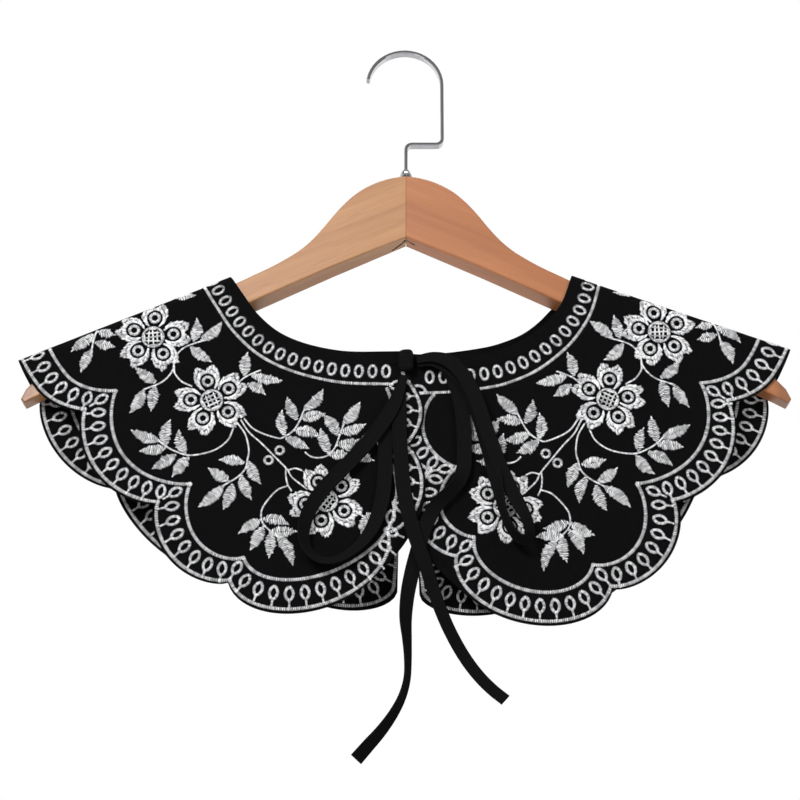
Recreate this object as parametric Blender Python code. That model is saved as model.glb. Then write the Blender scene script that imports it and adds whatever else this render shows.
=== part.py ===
# An embroidered cape collar tied with a bow, hung on a wooden hanger with a flat steel hook.
# The two collar halves are flat patterns folded over the hanger's arms. All tables are in
# millimetres, seen from the front: x to the viewer's right, z up from the inside of the hook.
# Run with: blender --background --python part.py

import math

import bmesh
import bpy
import numpy as np

MM = 0.001

# Cloth and its fold over the arms
CLOTH_WALL = 1.2  # thickness of the collar cloth
BAND_PROUD = 0.3  # how far the neck band stands out past the collar's outer face
BAND_WIDTH = 8.0
SEAM_GAP = 0.3
FOLD_HALF_WIDTH = 6.9  # from the middle plane to the middle of the cloth, front or back
FOLD_RISE = 6.0  # height of the rounded shoulder fold
FOLD_REACH = math.pi / 2 * math.sqrt((FOLD_HALF_WIDTH**2 + FOLD_RISE**2) / 2)
LAP_PUSH = 1.9  # the left half's lap lies this far in front of the right half
LAP_RAMP = (-46.0, -13.0)  # where the left half starts to rise, and where it lies on top
LAP_DEPTH = (0.0, 30.0)  # distance below the fold over which it comes in
FLARE = 2.4  # the panels stand this far out at the hem
FLARE_DEPTH = (20.0, 200.0)
FLARE_RIPPLE = (0.8, 0.2, 21.0)  # mean, swing and length of the soft ripple in it

# Shoulder fold lines: height at the middle plane and fall for each millimetre outwards
FOLD_LINES = {"left": (-103.0, 0.426), "right": (-110.5, 0.3655)}

# Neckline from the centre front, over the shoulder, to the centre back: face, x, z
NECKLINES = {
    "left": [
        ("front", 2.9, -195.5),
        ("front", -26.0, -195.5),
        ("front", -43.0, -193.6),
        ("front", -60.0, -189.3),
        ("front", -74.0, -182.6),
        ("front", -85.5, -172.4),
        ("front", -93.5, -161.5),
        ("fold", -103.0, -146.9),
        ("back", -94.0, -160.0),
        ("back", -85.5, -168.5),
        ("back", -74.0, -179.0),
        ("back", -60.0, -186.0),
        ("back", -43.0, -190.3),
        ("back", -22.0, -191.5),
        ("back", 0.0, -191.5),
    ],
    "right": [
        ("front", -4.0, -196.0),
        ("front", 20.0, -197.4),
        ("front", 43.0, -196.1),
        ("front", 54.5, -193.6),
        ("front", 66.5, -188.5),
        ("front", 79.5, -178.8),
        ("front", 87.5, -169.5),
        ("front", 92.5, -160.5),
        ("fold", 97.0, -146.0),
        ("back", 91.5, -156.5),
        ("back", 84.5, -164.5),
        ("back", 77.0, -172.3),
        ("back", 67.5, -179.3),
        ("back", 55.0, -184.6),
        ("back", 43.0, -187.6),
        ("back", 22.0, -190.5),
        ("back", 0.0, -191.5),
    ],
}

# Scalloped edges. Each row ends a scallop: face, x, z, bulge, fullness (0.5 round, 1 shallow), steps;
# the one round the end of the shoulder bulges most near its front end, at the share in SHOULDER_PEAK
SHOULDER_ROW = 3
SHOULDER_PEAK = 0.35
FRONT_EDGES = {
    "left": [
        ("front", 2.8, -214.0, 0.0, 1.0, 1),
        ("front", 1.1, -253.2, 8.6, 1.0, 5),
        ("front", -10.8, -307.0, 15.5, 0.75, 6),
    ],
    "right": [
        ("front", -4.0, -214.0, 0.0, 1.0, 1),
        ("front", 12.5, -268.0, 11.0, 0.8, 6),
        ("front", 26.8, -319.2, 16.5, 0.75, 6),
    ],
}
HEMS = {
    "left": [
        ("front", -99.7, -333.1, 29.0, 0.5, 11),
        ("front", -142.6, -287.1, 15.0, 0.75, 8),
        ("front", -186.4, -231.5, 15.5, 0.85, 8),
        ("back", -212.4, -219.5, 13.0, 0.9, 5),
        ("back", -167.0, -273.0, 13.0, 0.8, 7),
        ("back", -117.0, -322.0, 8.0, 0.8, 6),
        ("back", -70.0, -322.0, 6.0, 0.75, 6),
        ("back", -5.0, -334.0, 16.0, 0.55, 7),
    ],
    "right": [
        ("front", 115.5, -336.5, 29.0, 0.5, 11),
        ("front", 153.2, -285.9, 15.0, 0.75, 8),
        ("front", 186.5, -226.1, 15.5, 0.85, 8),
        ("back", 209.5, -217.5, 14.0, 0.9, 5),
        ("back", 168.5, -267.5, 14.5, 0.8, 7),
        ("back", 127.0, -322.0, 6.5, 0.8, 6),
        ("back", 72.0, -333.5, 13.0, 0.75, 6),
        ("back", 7.5, -335.5, 13.0, 0.55, 7),
    ],
}
# Share of the neckline, front or back, that each hem row above takes up
NECK_SHARES = [0.45, 0.70, 0.88, 0.14, 0.36, 0.58, 0.78, 1.0]
BACK_NECK_SPLIT = 1.5  # each back half ends this far from the middle at the neck
FOLD_STEPS = 8  # columns across the rounded fold
SHOULDER_STEPS = 3  # columns from the last front cusp to the fold
EDGE_BLEND_COLUMNS = 7  # columns over which the centre-front scallops fade into the panel

# Hanger: half outline of the right half, then the lower edge back to the middle
HANGER_THICKNESS = 12.0
HANGER_CROWN = [
    (0.0, -82.9), (7.0, -83.9), (14.0, -85.8), (21.0, -88.8), (28.0, -93.1), (35.0, -99.3),
    (42.0, -107.3), (48.5, -115.9), (55.5, -124.2), (62.5, -130.6), (69.5, -135.4), (76.5, -139.7),
    (83.0, -143.2), (90.0, -146.7),
]
HANGER_CROWN_STEP = 3.6
HANGER_TOP = [(95.0, -149.3), (101.0, -152.3), (135.0, -169.5), (175.0, -190.6), (213.0, -210.6)]
HANGER_TIP = [(219.0, -217.2), (221.8, -223.2), (219.8, -225.8)]
# Lower edge at the front face: x, z, and how much lower it is at the back face
HANGER_LOW = [
    (207.0, -218.6, 0.4), (150.0, -190.8, 2.0), (91.0, -163.6, 3.0), (43.5, -141.0, 2.8), (0.0, -122.4, 1.5),
]
HANGER_BEVEL = 0.9
MITRE_GAP = 0.15  # half of the joint between the two wooden halves

# Hook: a flat strip, bent on edge, whose foot stands in a slot in the wood
STRIP_THICKNESS = 2.0
STRIP_WIDTH = 6.0
HOOK_RADIUS = 22.5  # middle of the strip; the inside of the arch touches z = 0
HOOK_CENTRE_X = -0.7
HOOK_TIP_ANGLE = 170.0
HOOK_DROP = -57.0  # where the straight side ends
HOOK_BEND = 3.6  # radius of the two bends above the shank
HOOK_FOOT = -94.0
SLOT_GAP = 0.3
FERRULE = {"half_x": 3.8, "half_y": 5.3, "foot": -82.4, "top": -77.9}

# Ties: a flat strip; width grows from the knot
TIE_WIDTH = 8.5
TIE_PINCH = 5.0  # width where the knot squeezes it
TIE_PINCH_LENGTH = 24.0
TIE_THICKNESS = 1.0
TIE_CLEAR = 0.35
TIE_FLARE_DEPTH = (50.0, 190.0)  # a little before the cloth's own flare, so the ties clear it
TIE_STEP = 1.4  # depth from one layer of ties to the next
KNOT = {"x": -0.1, "z": -202.4, "half_x": 4.6, "half_z": 6.6, "half_y": 2.4, "bevel": 1.6}

# Routes of the ties: x, z, layer (0 lies on the cloth), twist in degrees
TIES = {
    "loop_left": [
        (-1.2, -212.5, 2, 0), (-6, -227.5, 2, 0), (-13.5, -241, 2, 0), (-23.5, -254.5, 2, 0),
        (-36, -268.3, 2, 5), (-47, -280.5, 2, 12), (-54.5, -293, 1.8, 25), (-57.5, -304.5, 1.5, 40),
        (-55.5, -315, 1, 50), (-48, -321.5, 0.7, 52), (-38, -321, 0.4, 50), (-27.5, -314, 0, 40),
        (-20, -304.5, 0, 25), (-15.5, -293.5, 0, 12), (-12.9, -281, 0, 5), (-11.9, -267, 0, 0),
        (-11.7, -251.5, 0, 0), (-9, -236, 0, 0), (-4.5, -222, 0, 0), (-1.3, -212.2, 0, 0),
    ],
    "loop_right": [
        (6.4, -202.2, 2, 0), (15.5, -200.9, 2.5, 0), (24.9, -203.9, 3, 0), (32.3, -211.4, 3, 0),
        (37.6, -221, 3, 0), (41.5, -231.3, 3, 0), (45, -243.3, 3, 0), (49.1, -255.8, 3, 0),
        (53.3, -267.8, 3, 0), (58, -279.3, 3, 8), (62.9, -289.5, 3, 20), (67.3, -299, 3, 38),
        (69.3, -306.5, 3, 52), (66.5, -311.5, 3, 60), (61.5, -309.5, 2.9, 66), (57, -302.5, 2.7, 68),
        (54.1, -294, 2.4, 66), (52.2, -284, 1.9, 55), (50.2, -273, 1.4, 30), (48, -261.5, 1, 8),
        (44.7, -248.2, 1, 0), (41.1, -235.2, 1, 0), (36.8, -223.4, 1, 0), (30.9, -213.4, 1, 0),
        (23.4, -206.2, 1, 0), (15, -203, 1, 0), (6.6, -203.9, 1, 0),
    ],
    "tail_left": [
        (6.6, -203.8, 0, 0), (12.5, -201.8, 0, 0), (19.8, -203.6, 0, 0), (26, -210, 0, 0),
        (29.4, -219.7, 0, 0), (31.8, -231.3, 0, 0), (33, -244, 0, 0), (33.2, -256.5, 0, 0),
        (32.6, -267, 0, 10), (30, -275.2, 0, 30), (25.6, -281.2, 0, 44), (20, -286.5, 0, 36),
        (15.2, -292.3, 0, 12), (11.8, -299, 0, 0), (8.7, -307.5, 0, 0), (5.6, -318.5, 0, 0),
        (2.8, -330, 0, 10), (0.6, -342, 0, 25), (-0.4, -355, 0, 38), (0.3, -367, 0, 54),
        (0.8, -378, 0, 64), (0.4, -389, 0, 68), (-2.2, -399, 0, 66), (-7, -408.5, 0, 60),
        (-13.6, -417.8, 0, 52), (-20.5, -425.6, 0, 44), (-27.4, -433.4, 0, 38),
    ],
    "tail_right": [
        (-1.8, -211.2, 1, 0), (-3.6, -226.5, 1, 0), (-3.8, -244, 1, 0), (-3, -261, 1, 0),
        (-1.8, -277, 1, 0), (0.2, -289.5, 1, 0), (3, -301, 1, 8), (6.3, -312, 1, 16),
        (10, -322.5, 1, 22), (13.5, -334, 1, 28), (17.4, -346, 1, 30), (22.3, -358.7, 1, 32),
        (27.8, -370, 1, 32), (33.8, -380, 1, 32), (40.3, -388.5, 1, 32), (47.3, -395.6, 1, 32),
        (54.2, -401.2, 1, 32),
    ],
}

CLOTH_FINISH = ("black_cloth", (0.006, 0.006, 0.006), 0.9, 0.0)
WOOD_FINISH = ("hanger_wood", (0.52, 0.27, 0.13), 0.45, 0.0)
STEEL_FINISH = ("hook_steel", (0.72, 0.72, 0.74), 0.16, 1.0)


def material(name, colour, roughness, metallic):
    made = bpy.data.materials.get(name)
    if made is None:
        made = bpy.data.materials.new(name)
        made.use_nodes = True
        shader = made.node_tree.nodes["Principled BSDF"]
        shader.inputs["Base Color"].default_value = (*colour, 1.0)
        shader.inputs["Roughness"].default_value = roughness
        shader.inputs["Metallic"].default_value = metallic
    return made


def add_object(name, vertices, faces, finish, smooth_angle=40.0):
    mesh = bpy.data.meshes.new(name)
    mesh.from_pydata([[v * MM for v in p] for p in vertices], [], faces)
    mesh.validate()
    mesh.shade_smooth()
    mesh.set_sharp_from_angle(angle=math.radians(smooth_angle))
    mesh.materials.append(material(*finish))
    obj = bpy.data.objects.new(name, mesh)
    bpy.context.scene.collection.objects.link(obj)
    return obj


def ramp(value, start, end):
    share = min(1.0, max(0.0, (value - start) / (end - start)))
    return share * share * (3.0 - 2.0 * share)


def smooth_path(points, spacing):
    """Catmull-Rom curve through the points, read at about even spacing."""
    points = np.array(points, float)
    ends = np.vstack([2 * points[0] - points[1], points, 2 * points[-1] - points[-2]])
    dense = []
    for i in range(len(points) - 1):
        a, b, c, d = ends[i : i + 4]
        for t in np.linspace(0.0, 1.0, 24, endpoint=False):
            dense.append(
                0.5 * (2 * b + (c - a) * t + (2 * a - 5 * b + 4 * c - d) * t**2 + (3 * b - a - 3 * c + d) * t**3)
            )
    dense.append(points[-1])
    return evenly(np.array(dense), spacing=spacing)


def lengths(path):
    steps = np.linalg.norm(np.diff(path[:, :2], axis=0), axis=1)
    return np.concatenate([[0.0], np.cumsum(steps)])


def evenly(path, spacing=None, count=None):
    run = lengths(path)
    if count is None:
        count = max(2, int(round(run[-1] / spacing)) + 1)
    return at_lengths(path, np.linspace(0.0, run[-1], count))


def at_lengths(path, wanted):
    run = lengths(path)
    return np.column_stack([np.interp(wanted, run, path[:, k]) for k in range(path.shape[1])])


class Half:
    """One collar half: its flat pattern (s out along the fold, p down from it) and where it hangs."""

    def __init__(self, side):
        self.side = side
        self.sign = -1.0 if side == "left" else 1.0
        height, fall = FOLD_LINES[side]
        angle = math.atan(fall)
        self.start = np.array([0.0, height])
        self.along = np.array([self.sign * math.cos(angle), -math.sin(angle)])
        self.across = np.array([-self.sign * math.sin(angle), -math.cos(angle)])

    def flat(self, face, x, z):
        """Where a point seen on the hung cloth lies in the flat pattern."""
        offset = np.array([x, z]) - self.start
        s = float(offset @ self.along)
        if face == "fold":
            return s, 0.0
        depth = float(offset @ self.across)
        if depth < FOLD_RISE:
            p = FOLD_REACH * math.acos(1.0 - max(depth, 0.0) / FOLD_RISE) / (math.pi / 2)
        else:
            p = FOLD_REACH + depth - FOLD_RISE
        return s, p if face == "front" else -p

    def hang(self, s, p, out):
        """The hung place of a flat-pattern point, moved out from the middle of the cloth."""
        face = 1.0 if p >= 0 else -1.0
        reach = min(abs(p), FOLD_REACH)
        turn = reach / FOLD_REACH * math.pi / 2
        depth = FOLD_RISE * (1.0 - math.cos(turn)) + (abs(p) - reach)
        y_out, up = FOLD_RISE * math.sin(turn), FOLD_HALF_WIDTH * math.cos(turn)
        size = math.hypot(y_out, up)
        y_out, up = y_out / size, up / size
        x, z = self.start + self.along * s + self.across * (depth - out * up)
        y = FOLD_HALF_WIDTH * math.sin(turn) + out * y_out + self.stand_out(x, z, abs(p), face)
        return x, -face * y, z

    def stand_out(self, x, z, down, face):
        mean, swing, run = FLARE_RIPPLE
        flare = FLARE * ramp(down, *FLARE_DEPTH) * (mean + swing * math.sin(x / run))
        lap = LAP_PUSH * ramp(x, *LAP_RAMP) if self.side == "left" and face > 0 else 0.0
        return flare + lap * ramp(down, *LAP_DEPTH)

    def neckline(self):
        points = [self.flat(*row) for row in NECKLINES[self.side]]
        return smooth_path(points, 0.5)

    def scallops(self, start, rows):
        """The scalloped edge: one path of points for each row."""
        pieces = []
        for i, (face, x, z, bulge, fullness, steps) in enumerate(rows):
            end = np.array(self.flat(face, x, z))
            chord = end - start
            outward = np.array([-chord[1], chord[0]]) / np.linalg.norm(chord)
            t = 0.5 - 0.5 * np.cos(np.linspace(0.0, math.pi, 121))
            peak = SHOULDER_PEAK if i == SHOULDER_ROW else 0.5
            off_peak = np.where(t < peak, (t - peak) / peak, (t - peak) / (1.0 - peak))
            height = bulge * (1.0 - off_peak**2) ** fullness
            pieces.append((start + np.outer(t, chord) + np.outer(height, outward), steps))
            start = end
        return pieces


def outset(path, distance):
    """The path moved outwards, away from the neck opening."""
    tangent = np.gradient(path, axis=0)
    tangent /= np.linalg.norm(tangent, axis=1)[:, None]
    return path + distance * np.column_stack([-tangent[:, 1], tangent[:, 0]])


def crossing(path, value):
    """Length along the path where p first falls below the value."""
    run = lengths(path)
    i = int(np.argmax(path[:, 1] < value))
    share = (path[i - 1, 1] - value) / (path[i - 1, 1] - path[i, 1])
    return run[i - 1] + share * (run[i] - run[i - 1])


def fold_levels():
    return np.linspace(FOLD_REACH, -FOLD_REACH, FOLD_STEPS + 1)


def neck_stations(half):
    """Lengths along the neckline where the columns of the panel start."""
    neck = half.neckline()
    folds = [crossing(neck, level) for level in fold_levels()]
    end = lengths(neck)[-1] - BACK_NECK_SPLIT
    steps = [row[5] for row in HEMS[half.side]]
    stations = [0.0]
    for i, share in enumerate(NECK_SHARES[:SHOULDER_ROW]):
        stations += list(np.linspace(stations[-1], share * folds[0], steps[i] + 1))[1:]
    stations += list(np.linspace(stations[-1], folds[0], SHOULDER_STEPS + 1))[1:] + folds[1:]
    stations.append(folds[-1] + NECK_SHARES[SHOULDER_ROW] * (end - folds[-1]))
    for i, share in enumerate(NECK_SHARES[SHOULDER_ROW + 1 :], SHOULDER_ROW + 1):
        stop = folds[-1] + share * (end - folds[-1])
        stations += list(np.linspace(stations[-1], stop, steps[i] + 1))[1:]
    return np.array(stations)


def hem_stations(half, start):
    """Points along the hem where the columns of the panel end."""
    points = [start]
    for i, (piece, steps) in enumerate(half.scallops(start, HEMS[half.side])):
        if i == SHOULDER_ROW:
            run = [crossing(piece, level) for level in fold_levels()]
            wanted = list(np.linspace(0.0, run[0], SHOULDER_STEPS + 1))[1:] + run[1:]
            wanted.append(lengths(piece)[-1])
            points += list(at_lengths(piece, wanted))
        else:
            points += list(evenly(piece, count=steps + 1))[1:]
    return np.array(points)


def panel_grid(half):
    """Flat-pattern grid of a collar half: rows from the neck band to the hem, columns round it."""
    neck = outset(half.neckline(), BAND_WIDTH + SEAM_GAP)
    at_edge = lengths(neck)[-1] / lengths(half.neckline())[-1]
    top = at_lengths(neck, neck_stations(half) * at_edge)
    edge = [top[0]]
    for piece, steps in half.scallops(top[0], FRONT_EDGES[half.side]):
        edge += list(evenly(piece, count=steps + 1))[1:]
    edge = np.array(edge)
    bottom = hem_stations(half, edge[-1])
    share = lengths(edge) / lengths(edge)[-1]
    bow = edge - (top[0] + np.outer(share, bottom[0] - top[0]))
    grid = []
    for i, (start, end) in enumerate(zip(top, bottom)):
        fade = 1.0 - ramp(i, 0, EDGE_BLEND_COLUMNS)
        grid.append(start + np.outer(share, end - start) + fade * bow)
    return np.array(grid)


def band_grid(half):
    neck = half.neckline()
    stations = neck_stations(half)
    stations[-1] = lengths(neck)[-1]
    rows = [at_lengths(neck, stations)]
    for width in (BAND_WIDTH / 2, BAND_WIDTH):
        edge = outset(neck, width)
        rows.append(at_lengths(edge, stations * lengths(edge)[-1] / lengths(neck)[-1]))
    return np.stack(rows, axis=1)


def wall(name, columns, finish):
    """Closed sheet from columns of (inner, outer) places."""
    across, down = len(columns), len(columns[0])
    vertices = [place for column in columns for pair in column for place in pair]

    def at(i, j, outer):
        return 2 * (i * down + j) + outer

    faces = []
    for i in range(across - 1):
        for j in range(down - 1):
            faces.append((at(i, j, 1), at(i, j + 1, 1), at(i + 1, j + 1, 1), at(i + 1, j, 1)))
            faces.append((at(i, j, 0), at(i + 1, j, 0), at(i + 1, j + 1, 0), at(i, j + 1, 0)))
        faces.append((at(i, 0, 0), at(i, 0, 1), at(i + 1, 0, 1), at(i + 1, 0, 0)))
        last = down - 1
        faces.append((at(i, last, 1), at(i, last, 0), at(i + 1, last, 0), at(i + 1, last, 1)))
    for j in range(down - 1):
        faces.append((at(0, j, 0), at(0, j + 1, 0), at(0, j + 1, 1), at(0, j, 1)))
        end = across - 1
        faces.append((at(end, j, 1), at(end, j + 1, 1), at(end, j + 1, 0), at(end, j, 0)))
    obj = add_object(name, vertices, faces, finish, 50.0)
    face_outwards(obj)
    return obj


def face_outwards(obj):
    bm = bmesh.new()
    bm.from_mesh(obj.data)
    bmesh.ops.recalc_face_normals(bm, faces=bm.faces)
    bm.to_mesh(obj.data)
    bm.free()


def hung_columns(half, grid, inner, outer):
    return [[(half.hang(s, p, inner), half.hang(s, p, outer)) for s, p in column] for column in grid]


def collar_half(half):
    columns = hung_columns(half, panel_grid(half), -CLOTH_WALL / 2, CLOTH_WALL / 2)
    return wall("collar_" + half.side, columns, CLOTH_FINISH)


def neck_band(left, right):
    inner, outer = -CLOTH_WALL / 2, CLOTH_WALL / 2 + BAND_PROUD
    columns = hung_columns(left, band_grid(left), inner, outer)
    columns += hung_columns(right, band_grid(right), inner, outer)[-2::-1]
    return wall("neck_band", columns, CLOTH_FINISH)


def prism(name, front, back, thickness, finish):
    """Flat outlines in x and z for both faces, given a thickness in y about the middle plane."""
    n = len(front)
    vertices = [(x, -thickness / 2, z) for x, z in front] + [(x, thickness / 2, z) for x, z in back]
    faces = [tuple(range(n)), tuple(range(2 * n - 1, n - 1, -1))]
    faces += [(i, i + n, (i + 1) % n + n, (i + 1) % n) for i in range(n)]
    obj = add_object(name, vertices, faces, finish, 30.0)
    face_outwards(obj)
    return obj


def cut(obj, name, centre, size):
    """Takes a box out of the object."""
    half = [v / 2 for v in size]
    corners = [
        [centre[k] + (half[k] if i >> k & 1 else -half[k]) for k in range(3)] for i in range(8)
    ]
    faces = [(0, 2, 3, 1), (4, 5, 7, 6), (0, 1, 5, 4), (2, 6, 7, 3), (0, 4, 6, 2), (1, 3, 7, 5)]
    cutter = add_object(name, corners, faces, STEEL_FINISH)
    face_outwards(cutter)
    cutter.hide_render = True
    cutter.display_type = "WIRE"
    boolean = obj.modifiers.new("slot", "BOOLEAN")
    boolean.operation = "DIFFERENCE"
    boolean.object = cutter


def round_but_mitre(obj):
    """Rounds the long edges of both faces; the mitre and the contour stay as they are."""
    mesh = obj.data
    weights = mesh.attributes.new("bevel_weight_edge", "FLOAT", "EDGE").data
    for edge in mesh.edges:
        a, b = (mesh.vertices[i].co for i in edge.vertices)
        at_mitre = max(abs(a.x), abs(b.x)) < 2 * MITRE_GAP * MM
        weights[edge.index].value = float(abs(a.y - b.y) < 1e-6 and not at_mitre)
    bevel = obj.modifiers.new("edges", "BEVEL")
    bevel.width = HANGER_BEVEL * MM
    bevel.segments = 2
    bevel.limit_method = "WEIGHT"


def hanger_half(name, sign):
    crown = [(x, z) for x, z in smooth_path(HANGER_CROWN, HANGER_CROWN_STEP)]
    rows = [(x, z, 0.0) for x, z in crown + HANGER_TOP + HANGER_TIP] + HANGER_LOW
    faces = [[(sign * max(x, MITRE_GAP), z - share * drop) for x, z, drop in rows] for share in (0.0, 1.0)]
    obj = prism(name, *[face[::-int(sign)] for face in faces], HANGER_THICKNESS, WOOD_FINISH)
    round_but_mitre(obj)
    slot = (STRIP_THICKNESS + 2 * SLOT_GAP, STRIP_WIDTH + 2 * SLOT_GAP)
    top, foot = HANGER_CROWN[0][1] + 5.0, HOOK_FOOT - SLOT_GAP
    cut(obj, name + "_slot", (0.0, 0.0, (top + foot) / 2), (*slot, top - foot))
    return obj


def hook():
    steps = np.radians(np.linspace(HOOK_TIP_ANGLE, 0.0, 22))
    centre_z = -(HOOK_RADIUS - STRIP_THICKNESS / 2)
    path = [(HOOK_CENTRE_X + HOOK_RADIUS * math.cos(a), centre_z + HOOK_RADIUS * math.sin(a)) for a in steps]
    side_x = HOOK_CENTRE_X + HOOK_RADIUS
    for a in np.radians(np.linspace(0.0, -90.0, 5)):
        path.append((side_x - HOOK_BEND + HOOK_BEND * math.cos(a), HOOK_DROP + HOOK_BEND * math.sin(a)))
    level = HOOK_DROP - HOOK_BEND
    for a in np.radians(np.linspace(90.0, 180.0, 5)):
        path.append((HOOK_BEND + HOOK_BEND * math.cos(a), level - HOOK_BEND + HOOK_BEND * math.sin(a)))
    path.append((0.0, HOOK_FOOT))
    path = np.array([(x, z) for x, z in path])
    columns = []
    for i, (x, z) in enumerate(path):
        tangent = path[min(i + 1, len(path) - 1)] - path[max(i - 1, 0)]
        tangent /= np.linalg.norm(tangent)
        normal = np.array([-tangent[1], tangent[0]])
        columns.append([(x + normal[0] * a, b, z + normal[1] * a) for a, b in strip_corners()])
    return tube("hook", columns, STEEL_FINISH)


def strip_corners():
    a, b, r = STRIP_THICKNESS / 2, STRIP_WIDTH / 2, 0.5
    return [(a, r - b), (a, b - r), (a - r, b), (r - a, b), (-a, b - r), (-a, r - b), (r - a, -b), (a - r, -b)]


def tube(name, rings, finish):
    """Closed solid through rings of equal point counts, with flat ends."""
    count = len(rings[0])
    vertices = [p for ring in rings for p in ring]
    faces = [tuple(range(count)), tuple(range((len(rings) - 1) * count, len(rings) * count))]
    for i in range(len(rings) - 1):
        for k in range(count):
            a, b = i * count + k, i * count + (k + 1) % count
            faces.append((a, b, b + count, a + count))
    obj = add_object(name, vertices, faces, finish, 50.0)
    face_outwards(obj)
    return obj


def ferrule():
    """Oval domed cap on the wood, with a slot for the hook's foot."""
    rings = []
    height = FERRULE["top"] - FERRULE["foot"]
    for level, share in ((0.0, 0.94), (0.15, 1.0), (0.4, 0.97), (0.7, 0.84), (1.0, 0.62)):
        z = FERRULE["foot"] + level * height
        ring = [
            (FERRULE["half_x"] * share * math.cos(a), FERRULE["half_y"] * max(share, 0.8) * math.sin(a), z)
            for a in np.radians(np.arange(0.0, 360.0, 15.0))
        ]
        rings.append(ring)
    obj = tube("ferrule", rings, STEEL_FINISH)
    size = (STRIP_THICKNESS + 2 * SLOT_GAP, STRIP_WIDTH + 2 * SLOT_GAP, 2 * height)
    cut(obj, "ferrule_slot", (0.0, 0.0, (FERRULE["foot"] + FERRULE["top"]) / 2), size)
    return obj


def tie_depth(x, z, layer, lean):
    """How far in front of the middle plane a tie's middle lies, resting on the cloth or on a tie."""
    flare = FLARE * ramp(FOLD_LINES["left"][0] - z, *TIE_FLARE_DEPTH)
    lap = LAP_PUSH * ramp(x, *LAP_RAMP)
    cloth = FOLD_HALF_WIDTH + CLOTH_WALL / 2 + BAND_PROUD + flare + lap
    return cloth + TIE_CLEAR + TIE_THICKNESS / 2 + layer * TIE_STEP + lean


def tie_rings(rows):
    """Four-cornered sections along a tie's route."""
    route = smooth_path([(x, z, layer, twist) for x, z, layer, twist in rows], 4.5)
    run = lengths(route)
    back = run[-1] - run if rows[-1][1] > -215.0 else run + TIE_PINCH_LENGTH
    centres, widths = [], []
    for (x, z, layer, twist), ahead, behind in zip(route, run, back):
        grown = ramp(min(ahead, behind), 0.0, TIE_PINCH_LENGTH)
        width = TIE_PINCH + (TIE_WIDTH - TIE_PINCH) * grown
        lean = abs(math.sin(math.radians(twist))) * width / 2
        centres.append((x, -tie_depth(x, z, layer, lean), z))
        widths.append(width)
    centres = np.array(centres)
    tangents = np.gradient(centres, axis=0)
    rings = []
    for centre, tangent, width, twist in zip(centres, tangents, widths, np.radians(route[:, 3])):
        tangent = tangent / np.linalg.norm(tangent)
        side = np.cross(tangent, (0.0, 1.0, 0.0))
        side /= np.linalg.norm(side)
        front = np.cross(side, tangent)
        wide = side * math.cos(twist) + front * math.sin(twist)
        thick = np.cross(wide, tangent)
        ring = [
            tuple(centre + wide * a * width / 2 + thick * b * TIE_THICKNESS / 2)
            for a, b in ((-1, -1), (1, -1), (1, 1), (-1, 1))
        ]
        rings.append(ring)
    return rings


def knot():
    depth = tie_depth(KNOT["x"], KNOT["z"], 0, 0.0) - TIE_THICKNESS / 2
    bm = bmesh.new()
    bmesh.ops.create_cube(bm, size=1.0)
    size = [2 * KNOT["half_x"], 2 * KNOT["half_y"], 2 * KNOT["half_z"]]
    bmesh.ops.scale(bm, vec=[v * MM for v in size], verts=bm.verts)
    bmesh.ops.bevel(
        bm, geom=bm.edges[:], offset=KNOT["bevel"] * MM, segments=3, profile=0.5, affect="EDGES"
    )
    mesh = bpy.data.meshes.new("knot")
    bm.to_mesh(mesh)
    bm.free()
    mesh.shade_smooth()
    mesh.materials.append(material(*CLOTH_FINISH))
    obj = bpy.data.objects.new("knot", mesh)
    obj.location = (KNOT["x"] * MM, -(depth + KNOT["half_y"]) * MM, KNOT["z"] * MM)
    bpy.context.scene.collection.objects.link(obj)
    return obj


def main():
    for obj in list(bpy.data.objects):
        bpy.data.objects.remove(obj)
    left, right = Half("left"), Half("right")
    collar_half(left)
    collar_half(right)
    neck_band(left, right)
    knot()
    for name, rows in TIES.items():
        tube(name, tie_rings(rows), CLOTH_FINISH)
    hanger_half("hanger_left", -1.0)
    hanger_half("hanger_right", 1.0)
    ferrule()
    hook()


main()
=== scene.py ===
# The looks of an embroidered cape collar, tied with a bow and hung on a wooden hanger.
# Tables are in millimetres, seen from the front: x to the viewer's right, z up from the inside of the hook.
# On the flat pattern of a collar half, s runs out along its shoulder fold and p down from it, back negative.

import math

import bmesh
import bpy
import numpy as np
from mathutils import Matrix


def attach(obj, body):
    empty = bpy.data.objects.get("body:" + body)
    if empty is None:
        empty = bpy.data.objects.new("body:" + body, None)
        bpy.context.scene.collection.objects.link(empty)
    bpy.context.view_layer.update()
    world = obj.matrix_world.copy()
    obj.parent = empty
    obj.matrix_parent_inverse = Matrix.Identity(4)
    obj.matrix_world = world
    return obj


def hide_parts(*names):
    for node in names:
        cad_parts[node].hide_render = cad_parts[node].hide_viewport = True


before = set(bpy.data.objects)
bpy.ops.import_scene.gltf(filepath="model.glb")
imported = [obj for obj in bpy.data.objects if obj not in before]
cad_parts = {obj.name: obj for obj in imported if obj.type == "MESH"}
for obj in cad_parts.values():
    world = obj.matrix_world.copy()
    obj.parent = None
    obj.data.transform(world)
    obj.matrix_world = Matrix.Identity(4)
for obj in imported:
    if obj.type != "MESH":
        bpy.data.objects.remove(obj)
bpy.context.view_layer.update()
mm = 0.001


def printStage(words):
    print("stage:", words)


def addObject(name, data):
    made = bpy.data.objects.new(name, data)
    bpy.context.scene.collection.objects.link(made)
    return made


# Camera, at the photograph's angle

viewValues = {
    "elevation": -19.0,  # degrees; the photograph looks up at the hanger
    "distance": 1350.0,
    "aim": (-3.5, 0.0, -222.0),
    "widthAcross": 462.4,  # what the frame takes in at the aim
    "sensor": 36.0,
}


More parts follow.
